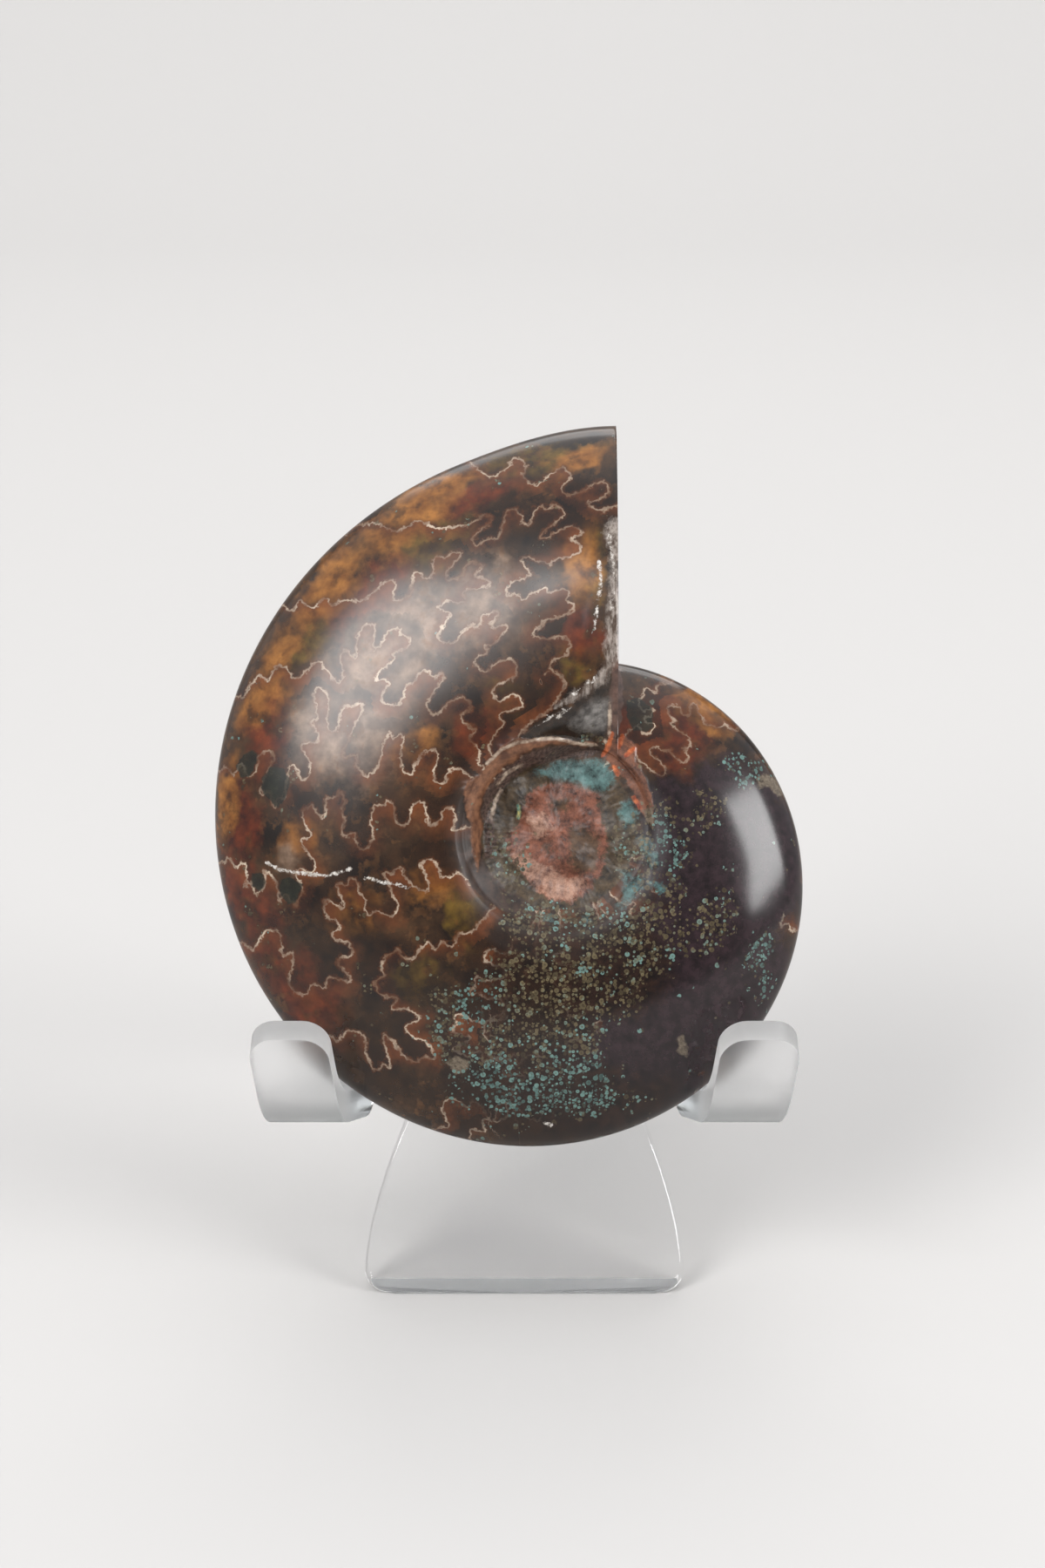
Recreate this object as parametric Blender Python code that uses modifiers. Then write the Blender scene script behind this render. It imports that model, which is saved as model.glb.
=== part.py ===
"""A cut and polished fossil ammonite, resting on a small easel of clear acrylic.

Both pieces are drawn in one tilted frame. Its origin is the pole of the coil, +X runs to the
right, +Z up the face of the stone and +Y through the stone to its back. An empty leans that
frame back and sets it over the ground, so the easel's feet stand on Z = 0.
"""

import bpy
import bmesh
import numpy as np
from math import acos, cos, pi, radians, sin, sqrt
from mathutils import Matrix, Vector

MM = 0.001

# Coil: a logarithmic spiral about the pole
TIP_ANGLE = radians(82.9)            # where the rim of the last whorl meets the cut
TIP_RADIUS = 49.0 * MM
COIL_DECAY = 0.12215                 # per radian, so each turn is 2.15 times the one before
TIP_FLARE = 0.02                     # the mouth opens a little more than the spiral
FLARE_RANGE = radians(22)
CUT_X = 5.9 * MM                     # the cut face is the plane X = CUT_X
HALF_THICKNESS = 12.0 * MM           # at the shoulder beside the cut
FLANK_POWER = 1.9                    # how long the flank stays flat
FLANK_EDGE = 0.62                    # how blunt the outer rim is

# Navel: a round bowl filled with matrix
NAVEL_X = -0.8 * MM
NAVEL_Z = 3.0 * MM
NAVEL_RADIUS = 10.8 * MM
NAVEL_FLOOR = 5.0 * MM               # half thickness of the stone at the matrix
NAVEL_SLOPE = 0.68                   # width of the bowl's wall over its height
CORE_RISE = 0.9 * MM                 # the matrix stands up in the middle
CORE_SHARE = 0.55
LUMP = 0.35 * MM
LUMPS_X = 2 * pi / (6.5 * MM)         # lumps this far apart
LUMPS_Z = 2 * pi / (7.5 * MM)
SEAM_RATIO = 0.93                    # height of the navel's lip over the flank's

# Facet between the last whorl's shoulder and the navel, beside the cut
FACET_SHARE = 0.17                   # part of a turn that the facet runs for
FACET_WIDTH = 0.237                  # its width at the cut, as a share of the way to the rim
FACET_TAPER = 2.2
SHOULDER_WIDTH = 0.04
FACET_BULGE = 1.35

# Mesh of the stone
TURN_STEPS = 78
WALL_STEPS = 3
FLANK_STEPS = 12
FLANK_CROWDING = 1.7                 # rows crowd towards the outer rim
FLOOR_STEPS = 7
LIP_STEPS = 3

# Easel: one sheet of acrylic, bent over into two legs, with two tongues bent forward as arms
SHEET = 4.0 * MM
LEAN = radians(20)
FOOT_Z = -51.5 * MM                  # front foot, down the face of the sheet from the pole
CENTRE_X = -4.6 * MM
FRONT_Y = 11.6 * MM                  # front face of the sheet
FOOT_HALF = 18.9 * MM
NECK_HALF = 12.0 * MM
NECK_Z = -26.0 * MM
FOOT_ROUND = 3.0 * MM
SHOULDER_HALF = 24.0 * MM            # where the tongues leave the sheet
SHOULDER_Z = -17.0 * MM
TOP_HALF = 13.0 * MM
FOLD_Z = 8.0 * MM                    # where the fold starts
FOLD_RADIUS = 5.0 * MM
BACK_LEAN = radians(31)              # back leg, from upright
BACK_HALF = 15.0 * MM
BELOW_GROUND = 4.0 * MM              # what the level cut takes off each foot
FOOT_STEPS = 5
LEG_STEPS = 6
SHOULDER_STEPS = 6
TOP_STEPS = 5
FOLD_STEPS = 12
EDGE_ROUND = 0.5 * MM

# Arms and hooks: every bend is about a line along X
TONGUE = 3.6 * MM                    # thickness, drawn down a little by the bending
ARM_HALF = 4.5 * MM
ARM_TOP_Z = -26.9 * MM
ROOT_TOP_Z = -13.0 * MM              # how far up the sheet the tongue reaches
ROOT_RADIUS = 4.0 * MM
ROOT_X = 21.3 * MM                   # where the first bend starts, from the easel's middle
ARM_DRIFT = 0.29                     # the arms spread as they run forward, less and less
DRIFT_LOSS = 3.5                     # per metre
HOOK_START_Y = 2.0 * MM
HOOK_RADIUS = 8.0 * MM
HOOK_TURN = radians(57)
HOOK_TIP = 6.9 * MM
TIP_ROUND = 3.0 * MM
ROOT_STEPS = 5
ARM_STEPS = 3
HOOK_STEPS = 7
TIP_STEPS = 5


def smooth(t):
    t = min(max(t, 0.0), 1.0)
    return t * t * (3 - 2 * t)


def shrink(angle):
    """Share of the size at the cut that the coil still has at this angle."""
    return np.exp(-COIL_DECAY * (angle - TIP_ANGLE))


def rim_radius(angle):
    flare = TIP_FLARE * (1 - smooth((angle - TIP_ANGLE) / FLARE_RANGE))
    return TIP_RADIUS * shrink(angle) * (1 + flare)


def rim_point(share):
    """Point of the outer rim, from the tip (0) round to the foot of the cut (1)."""
    end_angle = TIP_ANGLE + 2 * pi
    for _ in range(20):
        end_angle = 2 * pi + acos(CUT_X / rim_radius(end_angle))
    start_angle = TIP_ANGLE
    for _ in range(20):
        start_angle = acos(CUT_X / rim_radius(start_angle))
    angle = start_angle + (end_angle - start_angle) * share
    radius = rim_radius(angle)
    return radius * cos(angle), radius * sin(angle), angle


def lip_point(share):
    """Point of the navel's lip, starting where the cut meets it."""
    start = acos((CUT_X - NAVEL_X) / NAVEL_RADIUS)
    angle = start + 2 * pi * share
    return NAVEL_X + NAVEL_RADIUS * cos(angle), NAVEL_Z + NAVEL_RADIUS * sin(angle)


def lip_height(share, flank):
    """The lip climbs from the older whorl beside the cut to the last whorl's shoulder."""
    low = HALF_THICKNESS * SEAM_RATIO * shrink(TIP_ANGLE + 2 * pi)
    climb = smooth(share / FACET_SHARE)
    return low + (flank * SEAM_RATIO - low) * climb


def shoulder_share(share):
    facet = max(1 - share / FACET_SHARE, 0.0) ** FACET_TAPER
    return SHOULDER_WIDTH + FACET_WIDTH * facet


def matrix_height(x, z):
    """Lumpy matrix in the navel, with its core standing up."""
    away = sqrt((x - NAVEL_X) ** 2 + (z - NAVEL_Z) ** 2) / NAVEL_RADIUS
    lumps = sin(x * LUMPS_X + 1.3) * cos(z * LUMPS_Z - 0.4) + 0.5 * sin((x + z) * LUMPS_X)
    fade = smooth((0.9 - away) / 0.3)
    return NAVEL_FLOOR + CORE_RISE * smooth((CORE_SHARE - away) / 0.25) + LUMP * lumps * fade


def stone_column(share):
    """Points from the middle of the navel out to the rim, as (x, half thickness, z)."""
    rim_x, rim_z, angle = rim_point(share)
    lip_x, lip_z = lip_point(share)
    flank = HALF_THICKNESS * shrink(angle)
    lip = lip_height(share, flank)
    wall_share = NAVEL_SLOPE * (lip - NAVEL_FLOOR) / NAVEL_RADIUS
    column = []
    for step in range(1, FLOOR_STEPS + 1):
        out = (1 - wall_share) * step / FLOOR_STEPS
        x = NAVEL_X + (lip_x - NAVEL_X) * out
        z = NAVEL_Z + (lip_z - NAVEL_Z) * out
        column.append((x, matrix_height(x, z), z))
    foot_height = column[-1][1]
    for step in range(1, LIP_STEPS + 1):
        up = step / LIP_STEPS
        out = 1 - wall_share * (1 - up)
        x = NAVEL_X + (lip_x - NAVEL_X) * out
        z = NAVEL_Z + (lip_z - NAVEL_Z) * out
        column.append((x, foot_height + (lip - foot_height) * sin(up * pi / 2), z))
    shoulder = shoulder_share(share)
    for step in range(1, WALL_STEPS + 1):
        up = step / WALL_STEPS
        out = shoulder * up
        height = lip + (flank - lip) * (1 - (1 - up) ** FACET_BULGE)
        column.append((lip_x + (rim_x - lip_x) * out, height, lip_z + (rim_z - lip_z) * out))
    for step in range(1, FLANK_STEPS + 1):
        along = 1 - (1 - step / FLANK_STEPS) ** FLANK_CROWDING
        out = shoulder + (1 - shoulder) * along
        height = flank * max(1 - along ** FLANK_POWER, 0.0) ** FLANK_EDGE
        column.append((lip_x + (rim_x - lip_x) * out, height, lip_z + (rim_z - lip_z) * out))
    return column


def make_material(name, colour, roughness, metallic=0.0):
    material = bpy.data.materials.new(name)
    material.use_nodes = True
    shader = material.node_tree.nodes["Principled BSDF"]
    shader.inputs["Base Color"].default_value = (*colour, 1.0)
    shader.inputs["Roughness"].default_value = roughness
    shader.inputs["Metallic"].default_value = metallic
    return material


def make_object(name, bm, collection, parent, material=None):
    mesh = bpy.data.meshes.new(name)
    bm.to_mesh(mesh)
    bm.free()
    mesh.shade_smooth()
    mesh.set_sharp_from_angle(angle=radians(35))
    obj = bpy.data.objects.new(name, mesh)
    obj.parent = parent
    collection.objects.link(obj)
    if material:
        mesh.materials.append(material)
    return obj


def make_stone(collection, parent):
    """Front half of the stone, open at its middle plane and mirrored to the back."""
    bm = bmesh.new()
    navel_rows = FLOOR_STEPS + LIP_STEPS
    middle = bm.verts.new((NAVEL_X, -matrix_height(NAVEL_X, NAVEL_Z), NAVEL_Z))
    columns = []
    for step in range(TURN_STEPS + 1):
        points = stone_column(step / TURN_STEPS)
        column = [bm.verts.new((x, -height, z)) for x, height, z in points]
        columns.append(column)
    # Inside the lip the last column is the first one again
    for row in range(navel_rows):
        bm.verts.remove(columns[-1][row])
        columns[-1][row] = columns[0][row]
    for left, right in zip(columns, columns[1:]):
        bm.faces.new((middle, right[0], left[0]))
        for row in range(len(left) - 1):
            bm.faces.new((left[row], right[row], right[row + 1], left[row + 1]))
    # The cut face joins the last whorl's section to the older whorl's
    outer, inner = columns[0], columns[-1]
    for row in range(navel_rows - 1, len(outer) - 1):
        corners = [outer[row], outer[row + 1], inner[row + 1], inner[row]]
        bm.faces.new(list(dict.fromkeys(corners)))
    bmesh.ops.recalc_face_normals(bm, faces=bm.faces)
    stone = make_object("ammonite", bm, collection, parent,
                        make_material("polished_calcite", (0.10, 0.040, 0.020), 0.15))
    mirror = stone.modifiers.new("back_half", "MIRROR")
    mirror.use_axis = (False, True, False)
    mirror.merge_threshold = 0.00005
    return stone


def strip_surface(bm, stations):
    """A strip as an open surface, each station a middle point and the half width along X."""
    rows = []
    for middle, half in stations:
        rows.append([bm.verts.new(middle + Vector((half * k, 0, 0))) for k in (-1, 0, 1)])
    for low, high in zip(rows, rows[1:]):
        for k in (0, 1):
            bm.faces.new((low[k], low[k + 1], high[k + 1], high[k]))


def thicken(obj, thickness):
    solid = obj.modifiers.new("sheet", "SOLIDIFY")
    solid.thickness = thickness
    solid.offset = 0.0
    edges = obj.modifiers.new("edges", "BEVEL")
    edges.width = EDGE_ROUND
    edges.segments = 1
    edges.limit_method = "ANGLE"
    edges.angle_limit = radians(50)


def front_half(z):
    """Half width up the front: a bell-shaped leg, the shoulder of the tongues, the backrest."""
    up = min(max((z - FOOT_Z) / (NECK_Z - FOOT_Z), 0.0), 1.0)
    corner = min(max(1 - (z - FOOT_Z) / FOOT_ROUND, 0.0), 1.0)
    half = NECK_HALF + (FOOT_HALF - NECK_HALF) * cos(up * pi / 2)
    half -= FOOT_ROUND * (1 - sqrt(1 - corner ** 2))
    half += (SHOULDER_HALF - NECK_HALF) * smooth((z - NECK_Z) / (SHOULDER_Z - NECK_Z))
    half -= (SHOULDER_HALF - TOP_HALF) * smooth((z - SHOULDER_Z) / (FOLD_Z - SHOULDER_Z))
    return half


def steps_between(low, high, steps):
    return [low + (high - low) * k / steps for k in range(1, steps + 1)]


def sheet_stations():
    middle_y = FRONT_Y + SHEET / 2
    rounding = [1 - cos(k / FOOT_STEPS * pi / 2) for k in range(FOOT_STEPS + 1)]
    heights = [FOOT_Z - BELOW_GROUND] + [FOOT_Z + FOOT_ROUND * share for share in rounding]
    heights += steps_between(heights[-1], NECK_Z, LEG_STEPS)
    heights += steps_between(NECK_Z, SHOULDER_Z, SHOULDER_STEPS)
    heights += steps_between(SHOULDER_Z, FOLD_Z, TOP_STEPS)
    stations = [(Vector((CENTRE_X, middle_y, z)), front_half(z)) for z in heights]
    turn = pi - BACK_LEAN - LEAN
    for k in range(1, FOLD_STEPS + 1):
        angle = turn * k / FOLD_STEPS
        y = middle_y + FOLD_RADIUS * (1 - cos(angle))
        z = FOLD_Z + FOLD_RADIUS * sin(angle)
        stations.append((Vector((CENTRE_X, y, z)), TOP_HALF))
    fold_end = stations[-1][0]
    down = Vector((0, sin(BACK_LEAN + LEAN), -cos(BACK_LEAN + LEAN)))
    height = (fold_end.z - FOOT_Z) * cos(LEAN) - (fold_end.y - FRONT_Y) * sin(LEAN)
    length = (height + BELOW_GROUND) / cos(BACK_LEAN)
    for share in steps_between(0, 1, LEG_STEPS):
        half = TOP_HALF + (BACK_HALF - TOP_HALF) * smooth(share)
        stations.append((fold_end + down * length * share, half))
    return stations


def arm_stations(hand):
    """A tongue of the sheet, bent forward at its root and up again into a hook."""
    middle_y = FRONT_Y + SHEET / 2
    arm_z = ARM_TOP_Z - TONGUE / 2
    root_z = arm_z + ROOT_RADIUS
    root_y = middle_y - ROOT_RADIUS
    path = [(root_z - ROOT_TOP_Z, middle_y, ROOT_TOP_Z, ARM_HALF), (0, middle_y, root_z, ARM_HALF)]
    for share in steps_between(0, 1, ROOT_STEPS):
        angle = pi / 2 * share
        y = root_y + ROOT_RADIUS * cos(angle)
        path.append((ROOT_RADIUS * angle, y, root_z - ROOT_RADIUS * sin(angle), ARM_HALF))
    reached = path[-1][0]
    for run in steps_between(0, root_y - HOOK_START_Y, ARM_STEPS):
        path.append((reached + run, root_y - run, arm_z, ARM_HALF))
    reached = path[-1][0]
    for angle in steps_between(0, HOOK_TURN, HOOK_STEPS):
        y = HOOK_START_Y - HOOK_RADIUS * sin(angle)
        z = arm_z + HOOK_RADIUS * (1 - cos(angle))
        path.append((reached + HOOK_RADIUS * angle, y, z, ARM_HALF))
    reached, end_y, end_z, _ = path[-1]
    for angle in [0] + steps_between(0, pi / 2, TIP_STEPS):
        along = HOOK_TIP - TIP_ROUND * (1 - sin(angle))
        y = end_y - along * cos(HOOK_TURN)
        z = end_z + along * sin(HOOK_TURN)
        path.append((reached + along, y, z, ARM_HALF - TIP_ROUND * (1 - cos(angle))))
    stations = []
    for run, y, z, half in path:
        spread = ROOT_X + ARM_DRIFT * run - DRIFT_LOSS * run * abs(run)
        stations.append((Vector((CENTRE_X + hand * spread, y, z)), half))
    return stations


def make_strip(name, stations, thickness, collection, parent, material=None):
    bm = bmesh.new()
    strip_surface(bm, stations)
    strip = make_object(name, bm, collection, parent, material)
    thicken(strip, thickness)
    return strip


def hide_cutter(obj):
    obj.hide_render = True
    obj.display_type = "WIRE"


def add_boolean(obj, name, operation, other):
    boolean = obj.modifiers.new(name, "BOOLEAN")
    boolean.operation = operation
    boolean.object = other


def make_stand(collection, cutters, parent):
    """The easel: bent sheet, joined to its two tongues, with both feet cut level."""
    stand = make_strip("stand", sheet_stations(), SHEET, collection, parent,
                       make_material("clear_acrylic", (0.90, 0.92, 0.93), 0.05))
    for name, hand in (("arm_left", -1), ("arm_right", 1)):
        arm = make_strip(name, arm_stations(hand), TONGUE, cutters, parent)
        hide_cutter(arm)
        add_boolean(stand, name, "UNION", arm)
    bm = bmesh.new()
    depth = 40 * MM
    bmesh.ops.create_cube(bm, size=1.0, matrix=Matrix.Translation((0, 0, -depth / 2))
                          @ Matrix.Diagonal((0.3, 0.3, depth, 1)))
    ground = make_object("ground", bm, cutters, None)
    hide_cutter(ground)
    add_boolean(stand, "level_feet", "DIFFERENCE", ground)
    return stand


def centre_on_origin(frame, objects):
    """Slide the tilted frame so that the whole stands on the origin, centred in X and Y."""
    bpy.context.view_layer.update()
    graph = bpy.context.evaluated_depsgraph_get()
    corners = []
    for obj in objects:
        shape = obj.evaluated_get(graph)
        mesh = shape.to_mesh()
        corners += [shape.matrix_world @ vertex.co for vertex in mesh.vertices]
        shape.to_mesh_clear()
    points = np.array(corners)
    middle = (points.min(axis=0) + points.max(axis=0)) / 2
    frame.location.x -= middle[0]
    frame.location.y -= middle[1]


def main():
    for obj in list(bpy.data.objects):
        bpy.data.objects.remove(obj, do_unlink=True)
    collection = bpy.data.collections.new("ammonite_on_easel")
    cutters = bpy.data.collections.new("cutters")
    for group in (collection, cutters):
        bpy.context.scene.collection.children.link(group)
    frame = bpy.data.objects.new("tilted_frame", None)
    collection.objects.link(frame)
    frame.rotation_euler = (-LEAN, 0, 0)
    frame.location = (0, 0, -FOOT_Z * cos(LEAN) + FRONT_Y * sin(LEAN))
    stone = make_stone(collection, frame)
    stand = make_stand(collection, cutters, frame)
    centre_on_origin(frame, (stone, stand))


main()
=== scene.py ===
import bmesh
import bpy
import numpy as np
from math import acos, atan2, cos, pi, radians, sin, sqrt
from mathutils import Matrix, Vector, kdtree, noise


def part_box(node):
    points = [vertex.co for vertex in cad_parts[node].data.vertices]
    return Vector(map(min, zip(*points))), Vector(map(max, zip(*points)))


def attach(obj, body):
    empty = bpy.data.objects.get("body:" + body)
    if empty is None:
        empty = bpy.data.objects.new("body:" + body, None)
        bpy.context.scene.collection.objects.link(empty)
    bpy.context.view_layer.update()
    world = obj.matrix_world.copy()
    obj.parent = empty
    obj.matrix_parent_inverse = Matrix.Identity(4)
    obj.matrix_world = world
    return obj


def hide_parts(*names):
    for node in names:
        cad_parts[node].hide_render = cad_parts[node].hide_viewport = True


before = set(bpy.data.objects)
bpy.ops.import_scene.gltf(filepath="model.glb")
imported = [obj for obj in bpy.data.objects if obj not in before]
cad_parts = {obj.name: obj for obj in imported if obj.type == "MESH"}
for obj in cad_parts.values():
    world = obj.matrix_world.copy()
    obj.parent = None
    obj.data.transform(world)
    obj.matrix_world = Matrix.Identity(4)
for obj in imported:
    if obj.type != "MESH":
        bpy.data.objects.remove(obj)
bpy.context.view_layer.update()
mm = 0.001
lean = radians(20)          # the stone and its easel lean back this far

# Everything is drawn in one tilted frame: X right, Z up the face of the stone, Y to its back,
# with the pole of the coil at its origin. placeInRow turns it upright and sets it on the frame.
tilt = Matrix.Rotation(-lean, 4, "X")

# The camera looks straight at the face, from the place that the photograph was taken from
camera = {"x": -4.83 * mm, "z": 8.47 * mm, "distance": 450 * mm, "lens": 90.0, "sensor": 36.0}
photo = {"width": 1200, "height": 1800}          # pixels


def boxMiddle(low, high):
    return (Vector(low) + Vector(high)) / 2


def smooth(t):
    t = np.clip(t, 0.0, 1.0)
    return t * t * (3 - 2 * t)


def linear(hexColour, share=1.0):
    # sRGB hex to the linear values that the shaders work in
    parts = [int(hexColour[k:k + 2], 16) / 255 for k in (1, 3, 5)]
    parts = [c / 12.92 if c <= 0.04045 else ((c + 0.055) / 1.055) ** 2.4 for c in parts]
    return [share * c for c in parts] + [1.0]


def addNode(material, kind, inputs=None, output=None, **settings):
    # One node with its settings; an input is a value or the socket that feeds it
    tree = material.node_tree
    node = tree.nodes.new(kind)
    for name, value in settings.items():
        setattr(node, name, value)
    for name, value in (inputs or {}).items():
        if isinstance(name, int):
            socket = node.inputs[name]
        else:
            socket = next(s for s in node.inputs if s.enabled and s.name == name)
        if isinstance(value, bpy.types.NodeSocket):
            tree.links.new(value, socket)
        else:
            socket.default_value = value
    return next((s for s in node.outputs if s.enabled and output in (None, s.name)), None)


def newMaterial(name):
    material = bpy.data.materials.new(name)
    material.use_nodes = True
    material.node_tree.nodes.clear()
    return material


# Stone: its shape

stone = {
    "tipAngle": radians(82.9),       # where the rim of the last whorl meets the cut
    "tipRadius": 49.0 * mm,
    "coilDecay": 0.12215,            # each turn is 2.15 times the one before
    "tipFlare": 0.02,
    "flareRange": radians(22),
    "cutX": 5.9 * mm,
    "shellOnCut": 0.8,               # mm of shell that shows along the edge of the cut
    "halfThickness": 12.0 * mm,
    "flankPower": 1.9,
    "flankEdge": 0.62,
    "navelX": -0.8 * mm,
    "navelZ": 3.0 * mm,
    "navelRadius": 10.8 * mm,
    "navelFloor": 5.0 * mm,
    "navelSlope": 0.68,
    "coreRise": 0.9 * mm,
    "coreShare": 0.55,
    "lump": 0.35 * mm,
    "lumpsX": 2 * pi / (6.5 * mm),
    "lumpsZ": 2 * pi / (7.5 * mm),
    "seamRatio": 0.93,
    "facetShare": 0.17,
    "facetWidth": 0.237,
    "facetTaper": 2.2,
    "shoulderWidth": 0.04,
    "facetBulge": 1.35,
}


def shrink(angle):
    return np.exp(-stone["coilDecay"] * (angle - stone["tipAngle"]))


def rimRadius(angle):
    flare = stone["tipFlare"] * (1 - smooth((angle - stone["tipAngle"]) / stone["flareRange"]))
    return stone["tipRadius"] * shrink(angle) * (1 + flare)


def rimLine(share):
    # Outer rim from the tip (0) round to the foot of the cut (1)
    startAngle = stone["tipAngle"]
    endAngle = startAngle + 2 * pi
    for _ in range(20):
        startAngle = acos(stone["cutX"] / rimRadius(startAngle))
        endAngle = 2 * pi + acos(stone["cutX"] / rimRadius(endAngle))
    angle = startAngle + (endAngle - startAngle) * share
    radius = rimRadius(angle)
    return radius * np.cos(angle), radius * np.sin(angle), angle


def matrixHeight(x, z):
    away = np.hypot(x - stone["navelX"], z - stone["navelZ"]) / stone["navelRadius"]
    lumps = np.sin(x * stone["lumpsX"] + 1.3) * np.cos(z * stone["lumpsZ"] - 0.4)
    lumps = lumps + 0.5 * np.sin((x + z) * stone["lumpsX"])
    core = stone["coreRise"] * smooth((stone["coreShare"] - away) / 0.25)
    return stone["navelFloor"] + core + stone["lump"] * lumps * smooth((0.9 - away) / 0.3)


def stoneRing(zone, along, share):
    # One ring of the front surface as x, half thickness and z; each zone runs from 0 to 1
    rimX, rimZ, angle = rimLine(share)
    lipStart = acos((stone["cutX"] - stone["navelX"]) / stone["navelRadius"])
    lipX = stone["navelX"] + stone["navelRadius"] * np.cos(lipStart + 2 * pi * share)
    lipZ = stone["navelZ"] + stone["navelRadius"] * np.sin(lipStart + 2 * pi * share)
    flank = stone["halfThickness"] * shrink(angle)
    low = stone["halfThickness"] * stone["seamRatio"] * shrink(stone["tipAngle"] + 2 * pi)
    climb = smooth(share / stone["facetShare"])
    lip = low + (flank * stone["seamRatio"] - low) * climb
    wall = stone["navelSlope"] * (lip - stone["navelFloor"]) / stone["navelRadius"]
    facet = np.maximum(1 - share / stone["facetShare"], 0.0) ** stone["facetTaper"]
    shoulder = stone["shoulderWidth"] + stone["facetWidth"] * facet
    if zone in ("floor", "lip"):
        out = (1 - wall) * along if zone == "floor" else 1 - wall * (1 - along)
        x = stone["navelX"] + (lipX - stone["navelX"]) * out
        z = stone["navelZ"] + (lipZ - stone["navelZ"]) * out
        if zone == "floor":
            return x, matrixHeight(x, z), z
        footX = stone["navelX"] + (lipX - stone["navelX"]) * (1 - wall)
        footZ = stone["navelZ"] + (lipZ - stone["navelZ"]) * (1 - wall)
        foot = matrixHeight(footX, footZ)
        return x, foot + (lip - foot) * np.sin(along * pi / 2), z
    if zone == "wall":
        out = shoulder * along
        height = lip + (flank - lip) * (1 - (1 - along) ** stone["facetBulge"])
    else:
        out = shoulder + (1 - shoulder) * along
        height = flank * np.maximum(1 - along ** stone["flankPower"], 0.0) ** stone["flankEdge"]
    return lipX + (rimX - lipX) * out, height, lipZ + (rimZ - lipZ) * out


stoneMesh = {
    # rings of each zone, and columns round the coil from the middle of the navel outwards
    "front": {"columns": 800, "floor": 26, "lip": 10, "wall": 8, "flank": 84},
    "back": {"columns": 400, "floor": 14, "lip": 5, "wall": 4, "flank": 42},
    "crowding": 1.55,                # flank rings crowd towards the outer rim
    "cutSteps": 24,
}


def ringList(side):
    # (zone, along, columns) from the middle of the navel to the rim
    counts = stoneMesh[side]
    columns = counts["columns"]
    rings = []
    for k in range(1, counts["floor"] + 1):
        along = k / counts["floor"]
        rings.append(("floor", along, columns // (8 if along < 0.3 else 4 if along < 0.62 else 2)))
    for k in range(1, counts["lip"] + 1):
        rings.append(("lip", k / counts["lip"], columns // 2))
    for k in range(1, counts["wall"] + 1):
        rings.append(("wall", k / counts["wall"], columns // 2))
    for k in range(1, counts["flank"] + 1):
        along = 1 - (1 - k / counts["flank"]) ** stoneMesh["crowding"]
        rings.append(("flank", along, columns // 2 if along < 0.42 else columns))
    return rings


def stitch(faces, inner, outer):
    # Faces between two rings; the outer one has as many columns as the inner, or twice as many
    if len(outer) == len(inner):
        for k in range(len(inner) - 1):
            faces.append((inner[k], inner[k + 1], outer[k + 1], outer[k]))
        return
    for k in range(len(inner) - 1):
        low, middle, high = outer[2 * k], outer[2 * k + 1], outer[2 * k + 2]
        faces += [(inner[k], middle, low), (inner[k], inner[k + 1], middle), (inner[k + 1], high, middle)]


def halfSurface(side, points, faces, rimIds=None):
    # Adds one half to the lists and returns the ids of its rings. The front's Y is negative.
    sign = -1 if side == "front" else 1
    middleHeight = float(matrixHeight(stone["navelX"], stone["navelZ"]))
    points.append((stone["navelX"], sign * middleHeight, stone["navelZ"]))
    rings = []
    for zone, along, columns in ringList(side):
        if rimIds is not None and zone == "flank" and along >= 1:
            rings.append(rimIds)
            continue
        share = np.linspace(0, 1, columns + 1)
        x, height, z = stoneRing(zone, along, share)
        ids = list(range(len(points), len(points) + columns + 1))
        points.extend(zip(x, sign * height, z))
        if zone in ("floor", "lip"):
            points.pop()                 # inside the lip the ring closes on itself
            ids[-1] = ids[0]
        rings.append(ids)
    centre = rings[0][0] - 1
    own = [(centre, rings[0][k + 1], rings[0][k]) for k in range(len(rings[0]) - 1)]
    for inner, outer in zip(rings, rings[1:]):
        stitch(own, inner, outer)
    faces.extend(own if side == "back" else [face[::-1] for face in own])
    return rings


def cutSurface(points, faces, front, back):
    # The cut face: rows run from the older whorl's section to the last whorl's
    def edge(rings, zones, column):
        return [ring[column] for ring, zone in zip(rings, zones) if zone in ("wall", "flank")]
    zonesFront = [zone for zone, _, _ in ringList("front")]
    zonesBack = [zone for zone, _, _ in ringList("back")]
    lipFront = front[zonesFront.index("wall") - 1][0]
    lipBack = back[zonesBack.index("wall") - 1][0]
    outer = [lipFront] + edge(front, zonesFront, 0)
    inner = [lipFront] + edge(front, zonesFront, -1)
    outer += edge(back, zonesBack, 0)[::-1][1:] + [lipBack]
    inner += edge(back, zonesBack, -1)[::-1][1:] + [lipBack]
    steps = stoneMesh["cutSteps"]
    rows = []
    for a, b in zip(inner, outer):
        if a == b:
            rows.append([a] * (steps + 1))
            continue
        row = [a]
        for k in range(1, steps):
            row.append(len(points))
            mix = k / steps
            points.append(tuple(np.array(points[a]) * (1 - mix) + np.array(points[b]) * mix))
        rows.append(row + [b])
    for low, high in zip(rows, rows[1:]):
        for k in range(steps):
            corners = list(dict.fromkeys((low[k], high[k], high[k + 1], low[k + 1])))
            faces.append(corners)
    return sorted(set(sum((row[1:-1] for row in rows), [])) - {lipFront, lipBack})


def buildStoneMesh():
    points, faces = [], []
    front = halfSurface("front", points, faces)
    back = halfSurface("back", points, faces, front[-1])
    cutIds = cutSurface(points, faces, front, back)
    return np.array(points), faces, cutIds


# Stone: where its markings lie

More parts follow.
